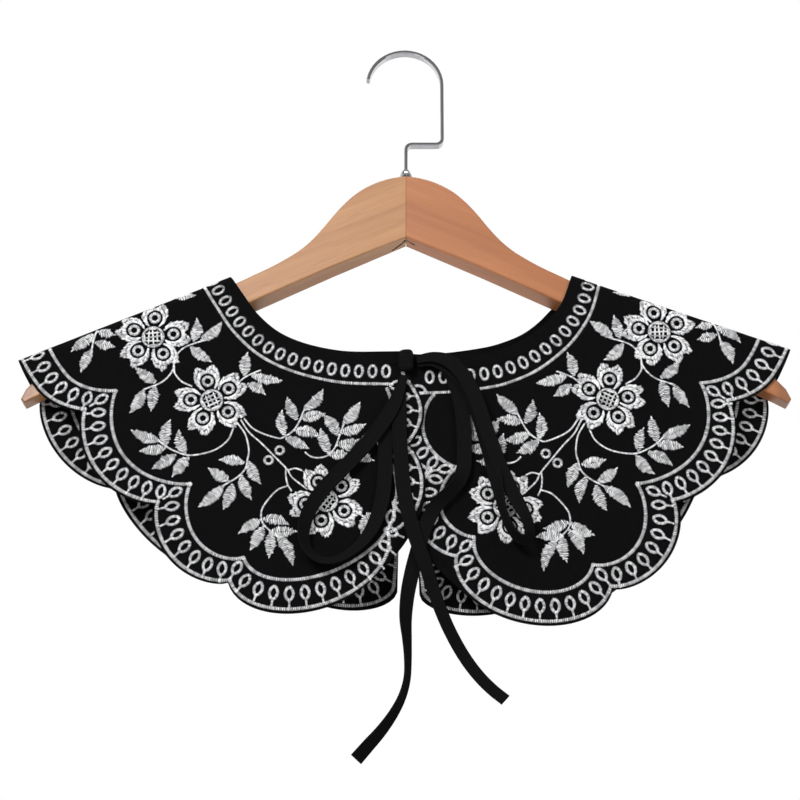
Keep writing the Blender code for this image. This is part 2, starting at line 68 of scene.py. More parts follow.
def makeCamera(values):
    data = bpy.data.cameras.new("viewCamera")
    data.sensor_width = values["sensor"]
    data.lens = values["sensor"] * values["distance"] / values["widthAcross"]
    camera = addObject("viewCamera", data)
    lean = math.radians(values["elevation"])
    x, y, z = values["aim"]
    place = (x, y - values["distance"] * math.cos(lean), z + values["distance"] * math.sin(lean))
    camera.location = [v * mm for v in place]
    camera.rotation_euler = (math.pi / 2 - lean, 0.0, 0.0)
    bpy.context.scene.camera = camera


makeCamera(viewValues)
printStage("camera placed")


# Paths and meshes


def ramp(value, start, end):
    share = np.clip((value - start) / (end - start), 0.0, 1.0)
    return share * share * (3.0 - 2.0 * share)


def runAlong(path):
    steps = np.linalg.norm(np.diff(path[:, :2], axis=0), axis=1)
    return np.concatenate([[0.0], np.cumsum(steps)])


def readPath(path, wanted):
    run = runAlong(path)
    return np.column_stack([np.interp(wanted, run, path[:, k]) for k in range(path.shape[1])])


def evenPath(path, spacing=None, count=None):
    length = runAlong(path)[-1]
    if count is None:
        count = max(2, int(round(length / spacing)) + 1)
    return readPath(path, np.linspace(0.0, length, count))


def smoothPath(points, spacing):
    # Catmull-Rom curve through the points
    points = np.array(points, float)
    ends = np.vstack([2 * points[0] - points[1], points, 2 * points[-1] - points[-2]])
    t = np.linspace(0.0, 1.0, 24, endpoint=False)[:, None]
    parts = []
    for i in range(len(points) - 1):
        a, b, c, d = ends[i : i + 4]
        bend = (2 * a - 5 * b + 4 * c - d) * t**2 + (3 * b - a - 3 * c + d) * t**3
        parts.append(0.5 * (2 * b + (c - a) * t + bend))
    return evenPath(np.vstack(parts + [points[-1:]]), spacing=spacing)


def unit(rows):
    return rows / np.linalg.norm(rows, axis=1)[:, None]


def sideOf(path):
    # Unit normals to the left of the direction of travel
    tangent = unit(np.gradient(path[:, :2], axis=0))
    return np.column_stack([-tangent[:, 1], tangent[:, 0]])


def leftOf(chord):
    return np.array([-chord[1], chord[0]]) / np.linalg.norm(chord)


def outset(path, distance):
    return path[:, :2] + distance * sideOf(path)


def faceOutwards(mesh, merged=0.0):
    work = bmesh.new()
    work.from_mesh(mesh)
    if merged:
        bmesh.ops.remove_doubles(work, verts=work.verts, dist=merged)
    bmesh.ops.recalc_face_normals(work, faces=work.faces)
    work.to_mesh(mesh)
    work.free()


def makePiece(name, vertices, faces, finish, smoothAngle=50.0):
    mesh = bpy.data.meshes.new(name)
    mesh.from_pydata([tuple(float(v) for v in p) for p in vertices], [], faces)
    mesh.shade_smooth()
    mesh.set_sharp_from_angle(angle=math.radians(smoothAngle))
    mesh.materials.append(finish)
    piece = addObject(name, mesh)
    faceOutwards(mesh)
    return piece


def addPattern(piece, uvs):
    layer = piece.data.uv_layers.new(name="pattern")
    places = np.array(uvs, np.float32)
    corner = np.empty(len(piece.data.loops), np.int32)
    piece.data.loops.foreach_get("vertex_index", corner)
    layer.data.foreach_set("uv", places[corner].ravel())


def tubeFaces(rings, around):
    faces = []
    for i in range(rings - 1):
        for k in range(around):
            a, b = i * around + k, i * around + (k + 1) % around
            faces.append((a, b, b + around, a + around))
    return faces


# Node materials


class NodeBoard:
    # A short way to add and link the nodes of a tree
    def __init__(self, tree):
        self.tree = tree

    def give(self, socket, value):
        if isinstance(value, bpy.types.NodeSocket):
            self.tree.links.new(value, socket)
        else:
            socket.default_value = value

    def add(self, kind, links=None, **settings):
        node = self.tree.nodes.new(kind)
        for key, value in settings.items():
            setattr(node, key, value)
        for key, value in (links or {}).items():
            self.give(node.inputs[key], value)
        return node

    def math(self, kind, a, b=0.0, c=0.0):
        return self.add("ShaderNodeMath", {0: a, 1: b, 2: c}, operation=kind).outputs[0]

    def times(self, a, b):
        return self.math("MULTIPLY", a, b)

    def band(self, value, low, high, first=0.0, last=1.0):
        links = {"Value": value, "From Min": low, "From Max": high, "To Min": first, "To Max": last}
        return self.add("ShaderNodeMapRange", links, clamp=True).outputs[0]

    def split(self, vector):
        return self.add("ShaderNodeSeparateXYZ", {"Vector": vector}).outputs


socketNames = {
    "colour": "Base Color",
    "specular": "Specular IOR Level",
    "sheen": "Sheen Weight",
    "coat": "Coat Weight",
    "coatRoughness": "Coat Roughness",
}


class FinishBoard(NodeBoard):
    def __init__(self, name):
        self.material = bpy.data.materials.new(name)
        self.material.use_nodes = True
        super().__init__(self.material.node_tree)

    def set(self, **values):
        shader = self.tree.nodes["Principled BSDF"]
        for key, value in values.items():
            self.give(shader.inputs[socketNames.get(key, key.title())], value)

    def place(self):
        return self.add("ShaderNodeTexCoord").outputs["Object"]

    def weavePlace(self):
        return self.add("ShaderNodeUVMap", uv_map="pattern").outputs["UV"]

    def stretch(self, vector, *scale):
        return self.add("ShaderNodeMapping", {"Vector": vector, "Scale": scale}).outputs["Vector"]

    def noise(self, vector, scale=1.0, detail=2.0, rough=0.5):
        links = {"Vector": vector, "Scale": scale, "Detail": detail, "Roughness": rough}
        return self.add("ShaderNodeTexNoise", links).outputs["Fac"]

    def blend(self, share, first, second):
        node = self.add("ShaderNodeMix", data_type="RGBA")
        for key, value in (("Factor_Float", share), ("A_Color", first), ("B_Color", second)):
            socket = next(s for s in node.inputs if s.identifier == key)
            self.give(socket, (*value, 1.0) if isinstance(value, tuple) else value)
        return next(s for s in node.outputs if s.identifier == "Result_Color")

    def wave(self, value, pitch):
        return self.math("SINE", self.times(value, 2.0 * math.pi / pitch))

    def bump(self, height, strength, distance):
        links = {"Height": height, "Strength": strength, "Distance": distance}
        self.set(normal=self.add("ShaderNodeBump", links).outputs["Normal"])


def makeMottled(name, scale, first, second, roughness):
    board = FinishBoard(name)
    board.set(colour=board.blend(board.noise(board.place(), scale), first, second), roughness=roughness)
    return board.material


# The weave's raised threads get a lighter colour and its hollows a darker one: painted highlight and painted
# shade of the weave
clothLook = {
    "deep": (0.0014, 0.0014, 0.0016),
    "litRaised": (0.0056, 0.0056, 0.0062),
    "fade": (0.0040, 0.0039, 0.0039),
    "roughness": 0.92,
    "specular": 0.02,
    "threadPitch": 0.42,  # millimetres between the weave's threads
    "slubs": (0.35, 4.0, 0.6),  # scale, detail and roughness of the uneven threads
    "worn": (0.02, 3.0),
    "bump": (0.5, 0.00012),
}


def makeClothFinish(name, values, along=1.0):
    board = FinishBoard(name)
    place = board.weavePlace()
    split = board.split(place)
    warp = board.wave(split["X"], values["threadPitch"] / along)
    weft = board.wave(split["Y"], values["threadPitch"])
    weave = board.math("MULTIPLY_ADD", board.times(warp, weft), 0.5, 0.5)
    height = board.math("MULTIPLY_ADD", board.noise(place, *values["slubs"]), 0.6, weave)
    # Painted light and shade: the colour runs from the dark hollows to the lighter raised threads with the
    # weave's height
    tone = board.blend(board.band(height, 0.2, 1.3), values["deep"], values["litRaised"])
    wear = board.band(board.noise(place, *values["worn"]), 0.55, 0.75)
    board.set(
        colour=board.blend(board.times(wear, 0.5), tone, values["fade"]),
        roughness=board.math("MULTIPLY_ADD", weave, -0.06, values["roughness"]),
        specular=values["specular"],
    )
    board.bump(height, *values["bump"])
    return board.material


# The tie's raised ribs and cords get a lighter colour and its hollows a darker one: painted highlight and
# painted shade of the weave
tieLook = {
    "deep": (0.0014, 0.0014, 0.0016),
    "litRaised": (0.0074, 0.0074, 0.0080),
    "roughness": 0.85,
    "specular": 0.03,
    "ribPitch": 0.85,  # millimetres between the crosswise ribs
    "cordPitch": 1.05,  # millimetres between the lengthwise cords
    "fibres": (1.6, 3.0),
    "bump": (0.6, 0.00018),
}


def makeTieFinish(name, values):
    board = FinishBoard(name)
    place = board.weavePlace()
    split = board.split(place)
    ribs = board.wave(board.math("MULTIPLY_ADD", split["Y"], 0.45, split["X"]), values["ribPitch"])
    cords = board.wave(split["Y"], values["cordPitch"])
    weave = board.math("MULTIPLY_ADD", ribs, 0.3, board.math("MULTIPLY_ADD", cords, 0.22, 0.5))
    height = board.math("MULTIPLY_ADD", board.noise(place, *values["fibres"]), 0.4, weave)
    # Painted light and shade: the colour runs from the dark hollows to the lighter raised ribs with their
    # height
    tone = board.blend(board.band(height, 0.1, 1.1), values["deep"], values["litRaised"])
    board.set(colour=tone, roughness=values["roughness"], specular=values["specular"])
    board.bump(height, *values["bump"])
    return board.material


threadLook = {
    "dark": (0.33, 0.33, 0.345),
    "light": (0.96, 0.96, 0.97),
    "roughness": 0.42,
    "specular": 0.5,
    "sheen": 0.25,
    "patches": (420.0, 3.0, 0.6),
    "fuzz": 5200.0,
    "bump": (0.25, 0.00006),
}


def makeThreadFinish(name, values):
    board = FinishBoard(name)
    shade = board.add("ShaderNodeAttribute", attribute_name="shade").outputs["Fac"]
    place = board.place()
    patches = board.noise(place, *values["patches"])
    tone = board.band(board.math("ADD", board.times(shade, 0.80), board.times(patches, 0.35)), 0.1, 0.85)
    board.set(
        colour=board.blend(tone, values["dark"], values["light"]),
        roughness=values["roughness"],
        specular=values["specular"],
        sheen=values["sheen"],
    )
    board.bump(board.noise(place, values["fuzz"]), *values["bump"])
    return board.material


woodLook = {
    "pale": (0.435, 0.220, 0.094),
    "tawny": (0.325, 0.148, 0.058),
    "pore": (0.20, 0.080, 0.034),
    "roughness": 0.42,
    "coat": 0.18,
    "coatRoughness": 0.3,
    "grain": (12.0, 150.0, 300.0),  # how fine each pattern is along the arm, through it and down it
    "pores": (60.0, 1400.0, 1900.0),
    "bands": (3.0, 40.0, 65.0),
    "bump": (0.18, 0.0002),
    # painted shade: the last millimetres of each arm, from x 212 mm outwards, are darkened towards the pore
    # colour
    "tipShade": (0.2120, 0.2160, 0.75),  # x where it starts, x where it is full, how dark
}


def makeWoodFinish(name, values, fall, shift, tint):
    # The grain runs down each arm, at the slope of its lower edge
    board = FinishBoard(name)
    place = board.place()
    links = {"Vector": place, "Location": (shift, 0.0, 0.0), "Rotation": (0.0, -math.atan(fall), 0.0)}
    turned = board.add("ShaderNodeMapping", links).outputs["Vector"]
    grain = board.noise(board.stretch(turned, *values["grain"]), detail=5.0, rough=0.6)
    pores = board.noise(board.stretch(turned, *values["pores"]))
    bands = board.noise(board.stretch(turned, *values["bands"]), detail=3.0)
    poreMask = board.band(pores, 0.60, 0.74)
    tone = board.math("MULTIPLY_ADD", bands, 0.6, board.times(grain, 0.6))
    deep, light = (tuple(v * t for v, t in zip(values[key], tint)) for key in ("tawny", "pale"))
    colour = board.blend(board.band(tone, 0.42, 0.78), deep, light)
    colour = board.blend(board.times(poreMask, 0.45), colour, values["pore"])
    # Painted shade: the ends of the arms are blended towards the pore colour
    start, full, dark = values["tipShade"]
    tipShadeMask = board.times(board.band(board.math("ABSOLUTE", board.split(place)["X"]), start, full), dark)
    board.set(
        colour=board.blend(tipShadeMask, colour, values["pore"]),
        roughness=board.math("MULTIPLY_ADD", pores, 0.16, values["roughness"] - 0.06),
        coat=values["coat"],
        coatRoughness=values["coatRoughness"],
    )
    board.bump(board.math("MULTIPLY_ADD", poreMask, -0.5, grain), *values["bump"])
    return board.material


steelLook = {
    "colour": (0.62, 0.62, 0.64),
    "smudge": (0.46, 0.46, 0.48),
    "roughness": 0.10,
    "scratches": (900.0, 60.0, 900.0),
    "bump": (0.04, 0.00005),
}


def makeSteelFinish(name, values):
    board = FinishBoard(name)
    place = board.place()
    scratches = board.noise(board.stretch(place, *values["scratches"]), detail=3.0)
    smudges = board.noise(place, 160.0, 3.0)
    board.set(
        colour=board.blend(board.band(smudges, 0.5, 0.75), values["colour"], values["smudge"]),
        metallic=1.0,
        roughness=board.math("MULTIPLY_ADD", smudges, 0.14, values["roughness"] - 0.04),
    )
    board.bump(scratches, *values["bump"])
    return board.material


clothFinish = makeClothFinish("mattBlackWeave", clothLook)
bandFinish = makeClothFinish("neckBandWeave", clothLook, along=0.8)
tieFinish = makeTieFinish("ribbedTieWeave", tieLook)
threadFinish = makeThreadFinish("whiteSatinThread", threadLook)
steelFinish = makeSteelFinish("polishedHookSteel", steelLook)


# How a flat collar half hangs

foldValues = {
    "halfWidth": 6.9,  # from the middle plane to the middle of the cloth
    "rise": 6.0,
    "lines": {"left": (-103.0, 0.426), "right": (-110.5, 0.3655)},
    "lapPush": 1.9,
    "lapRamp": (-46.0, -13.0),
    "lapDepth": (0.0, 30.0),
    "flare": 2.4,
    "flareDepth": (20.0, 200.0),
    "rippleMean": 0.8,
    "rippleSwing": 0.2,
    "rippleRun": 21.0,
}
foldReach = math.pi / 2 * math.sqrt((foldValues["halfWidth"] ** 2 + foldValues["rise"] ** 2) / 2)


class ClothHalf:
    def __init__(self, side, values):
        self.side = side
        self.values = values
        self.sign = -1.0 if side == "left" else 1.0
        height, fall = values["lines"][side]
        angle = math.atan(fall)
        self.start = (0.0, height)
        self.along = np.array([self.sign * math.cos(angle), -math.sin(angle)])
        self.across = np.array([-self.sign * math.sin(angle), -math.cos(angle)])

    def flat(self, face, x, z):
        # Where a point seen on the hung cloth lies on the flat pattern
        offset = np.subtract((x, z), self.start)
        s, depth = float(offset @ self.along), float(offset @ self.across)
        rise = self.values["rise"]
        if face == "fold":
            return s, 0.0
        if depth < rise:
            p = foldReach * math.acos(1.0 - max(depth, 0.0) / rise) / (math.pi / 2)
        else:
            p = foldReach + depth - rise
        return s, p if face == "front" else -p

    def hang(self, s, p, out):
        # Hung places, in metres, of flat points moved out from the middle of the cloth
        rise, halfWidth = self.values["rise"], self.values["halfWidth"]
        face = np.where(p >= 0, 1.0, -1.0)
        reach = np.minimum(np.abs(p), foldReach)
        turn = reach / foldReach * math.pi / 2
        depth = rise * (1.0 - np.cos(turn)) + np.abs(p) - reach
        outward, up = rise * np.sin(turn), halfWidth * np.cos(turn)
        size = np.hypot(outward, up)
        outward, up = outward / size, up / size
        x = self.start[0] + self.along[0] * s + self.across[0] * (depth - out * up)
        z = self.start[1] + self.along[1] * s + self.across[1] * (depth - out * up)
        y = halfWidth * np.sin(turn) + out * outward + self.standOut(x, np.abs(p), face)
        return np.column_stack([x, -face * y, z]) * mm

    def standOut(self, x, down, face):
        v = self.values
        ripple = v["rippleMean"] + v["rippleSwing"] * np.sin(x / v["rippleRun"])
        flare = v["flare"] * ramp(down, *v["flareDepth"]) * ripple
        if self.side == "left":
            lap = v["lapPush"] * ramp(x, *v["lapRamp"]) * ramp(down, *v["lapDepth"])
            flare = flare + np.where(face > 0, lap, 0.0)
        return flare


halves = {side: ClothHalf(side, foldValues) for side in ("left", "right")}


# Ties: flat woven strips from the knot

tieValues = {
    "width": 8.5,
    "pinch": 5.0,
    "pinchLength": 24.0,
    "thickness": 1.0,
    "clear": 0.35,
    "step": 1.4,
    "flareDepth": (50.0, 190.0),
    "spacing": 1.6,
    "returnsAbove": -215.0,  # a route that ends above this goes back into the knot
}

# Routes, as in the part's source: x, z, layer (0 lies on the cloth), twist in degrees
tieRoutes = {
    "loop_left": [
        (-1.2, -212.5, 2, 0), (-6, -227.5, 2, 0), (-13.5, -241, 2, 0), (-23.5, -254.5, 2, 0),
        (-36, -268.3, 2, 5), (-47, -280.5, 2, 12), (-54.5, -293, 1.8, 25), (-57.5, -304.5, 1.5, 40),
        (-55.5, -315, 1, 50), (-48, -321.5, 0.7, 52), (-38, -321, 0.4, 50), (-27.5, -314, 0, 40),
        (-20, -304.5, 0, 25), (-15.5, -293.5, 0, 12), (-12.9, -281, 0, 5), (-11.9, -267, 0, 0),
        (-11.7, -251.5, 0, 0), (-9, -236, 0, 0), (-4.5, -222, 0, 0), (-1.3, -212.2, 0, 0),
    ],
    "loop_right": [
        (6.4, -202.2, 2, 0), (15.5, -200.9, 2.5, 0), (24.9, -203.9, 3, 0), (32.3, -211.4, 3, 0),
        (37.6, -221, 3, 0), (41.5, -231.3, 3, 0), (45, -243.3, 3, 0), (49.1, -255.8, 3, 0),
        (53.3, -267.8, 3, 0), (58, -279.3, 3, 8), (62.9, -289.5, 3, 20), (67.3, -299, 3, 38),
        (69.3, -306.5, 3, 52), (66.5, -311.5, 3, 60), (61.5, -309.5, 2.9, 66), (57, -302.5, 2.7, 68),
        (54.1, -294, 2.4, 66), (52.2, -284, 1.9, 55), (50.2, -273, 1.4, 30), (48, -261.5, 1, 8),
        (44.7, -248.2, 1, 0), (41.1, -235.2, 1, 0), (36.8, -223.4, 1, 0), (30.9, -213.4, 1, 0),
        (23.4, -206.2, 1, 0), (15, -203, 1, 0), (6.6, -203.9, 1, 0),
    ],
    "tail_left": [
        (6.6, -203.8, 0, 0), (12.5, -201.8, 0, 0), (19.8, -203.6, 0, 0), (26, -210, 0, 0),
        (29.4, -219.7, 0, 0), (31.8, -231.3, 0, 0), (33, -244, 0, 0), (33.2, -256.5, 0, 0),
        (32.6, -267, 0, 10), (30, -275.2, 0, 30), (25.6, -281.2, 0, 44), (20, -286.5, 0, 36),
        (15.2, -292.3, 0, 12), (11.8, -299, 0, 0), (8.7, -307.5, 0, 0), (5.6, -318.5, 0, 0),
        (2.8, -330, 0, 10), (0.6, -342, 0, 25), (-0.4, -355, 0, 38), (0.3, -367, 0, 54),
        (0.8, -378, 0, 64), (0.4, -389, 0, 68), (-2.2, -399, 0, 66), (-7, -408.5, 0, 60),
        (-13.6, -417.8, 0, 52), (-20.5, -425.6, 0, 44), (-27.4, -433.4, 0, 38),
    ],
    "tail_right": [
        (-1.8, -211.2, 1, 0), (-3.6, -226.5, 1, 0), (-3.8, -244, 1, 0), (-3, -261, 1, 0),
        (-1.8, -277, 1, 0), (0.2, -289.5, 1, 0), (3, -301, 1, 8), (6.3, -312, 1, 16),
        (10, -322.5, 1, 22), (13.5, -334, 1, 28), (17.4, -346, 1, 30), (22.3, -358.7, 1, 32),
        (27.8, -370, 1, 32), (33.8, -380, 1, 32), (40.3, -388.5, 1, 32), (47.3, -395.6, 1, 32),
        (54.2, -401.2, 1, 32),
    ],
}

# Half of the strip's section: share of the half width, share of the half thickness
tieSection = [(1.0, 0.0), (0.985, 0.7), (0.94, 1.0), (0.86, 0.95), (0.76, 0.62), (0.4, 0.7), (0.0, 0.74)]


clothWall = {
    "collar": 1.2,
    "turnedEdge": 0.35,
    "bandProud": 0.3,
    "bandWidth": 8.0,
    "bandSeam": 2.0,  # its seam allowance
    "bandEdge": 0.4,
    "seamGap": 0.3,
}


def tieDepth(x, z, layer, lean):
    # How far in front of the middle plane the middle of a tie lies
    v, f = tieValues, foldValues
    flare = f["flare"] * ramp(f["lines"]["left"][0] - z, *v["flareDepth"])
    lap = f["lapPush"] * ramp(x, *f["lapRamp"])
    cloth = f["halfWidth"] + clothWall["collar"] / 2 + clothWall["bandProud"] + flare + lap
    return cloth + v["clear"] + v["thickness"] / 2 + layer * v["step"] + lean


def tieFrames(rows):
    # Middle points, half widths and crosswise directions along a tie
    v = tieValues
    route = smoothPath(rows, v["spacing"])
    run = runAlong(route)
    back = run[-1] - run if rows[-1][1] > v["returnsAbove"] else run + v["pinchLength"]
    grown = ramp(np.minimum(run, back), 0.0, v["pinchLength"])
    width = v["pinch"] + (v["width"] - v["pinch"]) * grown
    twist = np.radians(route[:, 3])
    depth = tieDepth(route[:, 0], route[:, 1], route[:, 2], np.abs(np.sin(twist)) * width / 2)
    middle = np.column_stack([route[:, 0], -depth, route[:, 1]])
    tangent = unit(np.gradient(middle, axis=0))
    side = unit(np.cross(tangent, (0.0, 1.0, 0.0)))
    front = np.cross(side, tangent)
    wide = side * np.cos(twist)[:, None] + front * np.sin(twist)[:, None]
    return middle, width, wide, np.cross(wide, tangent), run


def makeTie(name, rows):
    middle, width, wide, thick, run = tieFrames(rows)
    upper = tieSection + [(-a, b) for a, b in tieSection[-2::-1]]
    section = upper + [(a, -b) for a, b in upper[-2:0:-1]]
    vertices, uvs = [], []
    for i in range(len(middle)):
        for a, b in section:
            place = middle[i] + wide[i] * a * width[i] / 2 + thick[i] * b * tieValues["thickness"] / 2
            vertices.append(place * mm)
            uvs.append((run[i], a * width[i] / 2))
    faces = tubeFaces(len(middle), len(section))
    faces += [tuple(range(len(section))), tuple(range(len(vertices) - len(section), len(vertices)))]
    piece = makePiece(name + "_strip", vertices, faces, tieFinish)
    addPattern(piece, uvs)
    return piece, middle, run[-1]


tieLengths = {}
for tieName, tieRows in tieRoutes.items():
    tie, tieMiddle, tieLength = makeTie(tieName, tieRows)
    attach(tie, "root")
    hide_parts(tieName)
    tieLengths[tieName] = tieLength
printStage("ties laid: " + ", ".join(f"{k} {v:.0f} mm" for k, v in tieLengths.items()))


# Collar halves and neck band

# Neckline from the centre front, over the shoulder, to the centre back: x, z
neckPoints = {
    "left": {
        "front": [
            (2.9, -195.5), (-26.0, -195.5), (-43.0, -193.6), (-60.0, -189.3), (-74.0, -182.6),
            (-85.5, -172.4), (-93.5, -161.5),
        ],
        "fold": [(-103.0, -146.9)],
        "back": [
            (-94.0, -160.0), (-85.5, -168.5), (-74.0, -179.0), (-60.0, -186.0), (-43.0, -190.3),
            (-22.0, -191.5), (0.0, -191.5),
        ],
    },
    "right": {
        "front": [
            (-4.0, -196.0), (20.0, -197.4), (43.0, -196.1), (54.5, -193.6), (66.5, -188.5),
            (79.5, -178.8), (87.5, -169.5), (92.5, -160.5),
        ],
        "fold": [(97.0, -146.0)],
        "back": [
            (91.5, -156.5), (84.5, -164.5), (77.0, -172.3), (67.5, -179.3), (55.0, -184.6),
            (43.0, -187.6), (22.0, -190.5), (0.0, -191.5),
        ],
    },
}

# Scallops, each row the end of one: face, x, z, bulge, fullness (0.5 round, 1 shallow), columns of cloth
frontEdges = {
    "left": [
        ("front", 2.8, -214.0, 0.0, 1.0, 1),
        ("front", 1.1, -253.2, 8.6, 1.0, 5),
        ("front", -10.8, -307.0, 15.5, 0.75, 6),
    ],
    "right": [
        ("front", -4.0, -214.0, 0.0, 1.0, 1),
        ("front", 12.5, -268.0, 11.0, 0.8, 6),
        ("front", 26.8, -319.2, 16.5, 0.75, 6),
    ],
}
hems = {
    "left": [
        ("front", -99.7, -333.1, 29.0, 0.5, 11),
        ("front", -142.6, -287.1, 15.0, 0.75, 8),
        ("front", -186.4, -231.5, 15.5, 0.85, 8),
        ("back", -212.4, -219.5, 13.0, 0.9, 5),
        ("back", -167.0, -273.0, 13.0, 0.8, 7),
        ("back", -117.0, -322.0, 8.0, 0.8, 6),
        ("back", -70.0, -322.0, 6.0, 0.75, 6),
        ("back", -5.0, -334.0, 16.0, 0.55, 7),
    ],
    "right": [
        ("front", 115.5, -336.5, 29.0, 0.5, 11),
        ("front", 153.2, -285.9, 15.0, 0.75, 8),
        ("front", 186.5, -226.1, 15.5, 0.85, 8),
        ("back", 209.5, -217.5, 14.0, 0.9, 5),
        ("back", 168.5, -267.5, 14.5, 0.8, 7),
        ("back", 127.0, -322.0, 6.5, 0.8, 6),
        ("back", 72.0, -333.5, 13.0, 0.75, 6),
        ("back", 7.5, -335.5, 13.0, 0.55, 7),
    ],
}

gridValues = {
    "shoulderRow": 3,
    "shoulderPeak": 0.35,  # where the scallop over the shoulder is fullest
    "neckShares": [0.45, 0.70, 0.88, 0.14, 0.36, 0.58, 0.78, 1.0],
    "backSplit": 1.5,
    "foldSteps": 20,
    "shoulderSteps": 8,
    "finer": 3,  # columns here for each column of the solid
    "blendColumns": 21,
}
foldLevels = np.linspace(foldReach, -foldReach, gridValues["foldSteps"] + 1)


def scallop(start, chord, outward, rise, fullness, peak, count):
    t = 0.5 - 0.5 * np.cos(np.linspace(0.0, math.pi, count))
    offPeak = np.where(t < peak, (t - peak) / peak, (t - peak) / (1.0 - peak))
    height = rise * np.maximum(1.0 - offPeak**2, 0.0) ** fullness
    return start + np.outer(t, chord) + np.outer(height, outward)


def makeScallops(half, start, rows, isHem):
    parts = []
    for i, (face, x, z, bulge, fullness, steps) in enumerate(rows):
        end = np.array(half.flat(face, x, z))
        chord = end - start
        peak = gridValues["shoulderPeak"] if isHem and i == gridValues["shoulderRow"] else 0.5
        arc = scallop(start, chord, leftOf(chord), bulge, fullness, peak, 181)
        parts.append((arc, steps * gridValues["finer"]))
        start = end
    return parts


def crossing(path, value):
    run = runAlong(path)
    i = int(np.argmax(path[:, 1] < value))
    share = (path[i - 1, 1] - value) / (path[i - 1, 1] - path[i, 1])
    return run[i - 1] + share * (run[i] - run[i - 1])


def neckPath(half):
    table = neckPoints[half.side]
    return smoothPath([half.flat(face, *spot) for face, spots in table.items() for spot in spots], 0.5)


def neckStations(half):
    v = gridValues
    neck = neckPath(half)
    folds = [crossing(neck, level) for level in foldLevels]
    steps = [row[5] * v["finer"] for row in hems[half.side]]
    steps[v["shoulderRow"]] = v["finer"]
    rest = runAlong(neck)[-1] - v["backSplit"] - folds[-1]
    stations = [0.0]

    def goTo(stop, count):
        stations.extend(np.linspace(stations[-1], stop, count + 1)[1:])

    for i, share in enumerate(v["neckShares"]):
        if i == v["shoulderRow"]:
            goTo(folds[0], v["shoulderSteps"])
            stations.extend(folds[1:])
        goTo(share * folds[0] if i < v["shoulderRow"] else folds[-1] + share * rest, steps[i])
    return np.array(stations)


def hemPoints(half, start):
    v = gridValues
    points = [start]
    for i, (part, steps) in enumerate(makeScallops(half, start, hems[half.side], True)):
        if i == v["shoulderRow"]:
            run = [crossing(part, level) for level in foldLevels]
            wanted = list(np.linspace(0.0, run[0], v["shoulderSteps"] + 1))[1:] + run[1:]
            wanted += list(np.linspace(run[-1], runAlong(part)[-1], v["finer"] + 1))[1:]
            points += list(readPath(part, wanted))
        else:
            points += list(evenPath(part, count=steps + 1))[1:]
    return np.array(points)


def frontEdgePoints(half, start):
    points = [start]
    for part, steps in makeScallops(half, start, frontEdges[half.side], False):
        points += list(evenPath(part, count=steps + 1))[1:]
    return np.array(points)


def panelGrid(half):
    # Columns round the panel, each from the neck band to the hem
    neck = outset(neckPath(half), clothWall["bandWidth"] + clothWall["seamGap"])
    scale = runAlong(neck)[-1] / runAlong(neckPath(half))[-1]
    top = readPath(neck, neckStations(half) * scale)
    edge = frontEdgePoints(half, top[0])
    bottom = hemPoints(half, edge[-1])
    share = runAlong(edge) / runAlong(edge)[-1]
    bow = edge - (top[0] + np.outer(share, bottom[0] - top[0]))
    fade = 1.0 - ramp(np.arange(len(top)), 0, gridValues["blendColumns"])
    return top[:, None] + share[None, :, None] * (bottom - top)[:, None] + fade[:, None, None] * bow[None]


def bandGrid(half):
    neck = neckPath(half)
    stations = neckStations(half)
    stations[-1] = runAlong(neck)[-1]
    rows = []
    for width in np.linspace(0.0, clothWall["bandWidth"] + clothWall["seamGap"], 7):
        edge = outset(neck, width)
        rows.append(readPath(edge, stations * runAlong(edge)[-1] / runAlong(neck)[-1]))
    return np.stack(rows, axis=1)


def flatArea(grid):
    a, b, c, d = grid[:-1, :-1], grid[1:, :-1], grid[1:, 1:], grid[:-1, 1:]
    one, two = c - a, d - b
    return float(np.abs(one[..., 0] * two[..., 1] - one[..., 1] * two[..., 0]).sum() / 2)


def wallFaces(across, down):
    def at(i, j, outer):
        return 2 * (i * down + j) + outer

    faces = []
    for i in range(across - 1):
        for j in range(down - 1):
            faces.append((at(i, j, 1), at(i, j + 1, 1), at(i + 1, j + 1, 1), at(i + 1, j, 1)))
            faces.append((at(i, j, 0), at(i + 1, j, 0), at(i + 1, j + 1, 0), at(i, j + 1, 0)))
        for j, a, b in ((0, 0, 1), (down - 1, 1, 0)):
            faces.append((at(i, j, a), at(i, j, b), at(i + 1, j, b), at(i + 1, j, a)))
    for j in range(down - 1):
        for i, a, b in ((0, 0, 1), (across - 1, 1, 0)):
            faces.append((at(i, j, a), at(i, j + 1, a), at(i, j + 1, b), at(i, j, b)))
    return faces


def wallVertices(half, grid, inner, outer):
    s, p = grid[..., 0].ravel(), grid[..., 1].ravel()
    pairs = np.stack([half.hang(s, p, inner), half.hang(s, p, outer)], axis=1)
    return pairs.reshape(-1, 3), np.repeat(np.column_stack([s, p]), 2, axis=0)


def layCloth(piece, places, node, edge, flat):
    # A cloth piece gets its weave, its turned edge and its place
    addPattern(piece, places)
    bevel = piece.modifiers.new("turnedEdge", "BEVEL")
    bevel.width = edge * mm
    bevel.segments = 2
    bevel.limit_method = "ANGLE"
    bevel.angle_limit = math.radians(60.0)
    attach(piece, "root")
    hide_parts(node)
    flat = tuple(float(v) * mm for v in flat)


def makeCollarHalf(half):
    grid = panelGrid(half)
    name = "collar_" + half.side
    vertices, places = wallVertices(half, grid, -clothWall["collar"] / 2, clothWall["collar"] / 2)
    piece = makePiece(name + "_cloth", vertices, wallFaces(*grid.shape[:2]), clothFinish)
    size = np.ptp(grid.reshape(-1, 2), axis=0)
    area = flatArea(grid)
    layCloth(piece, places, name, clothWall["turnedEdge"], size)
    printStage(f"{name} cut {size[0]:.0f} x {size[1]:.0f} mm, {area / 100:.0f} square cm")


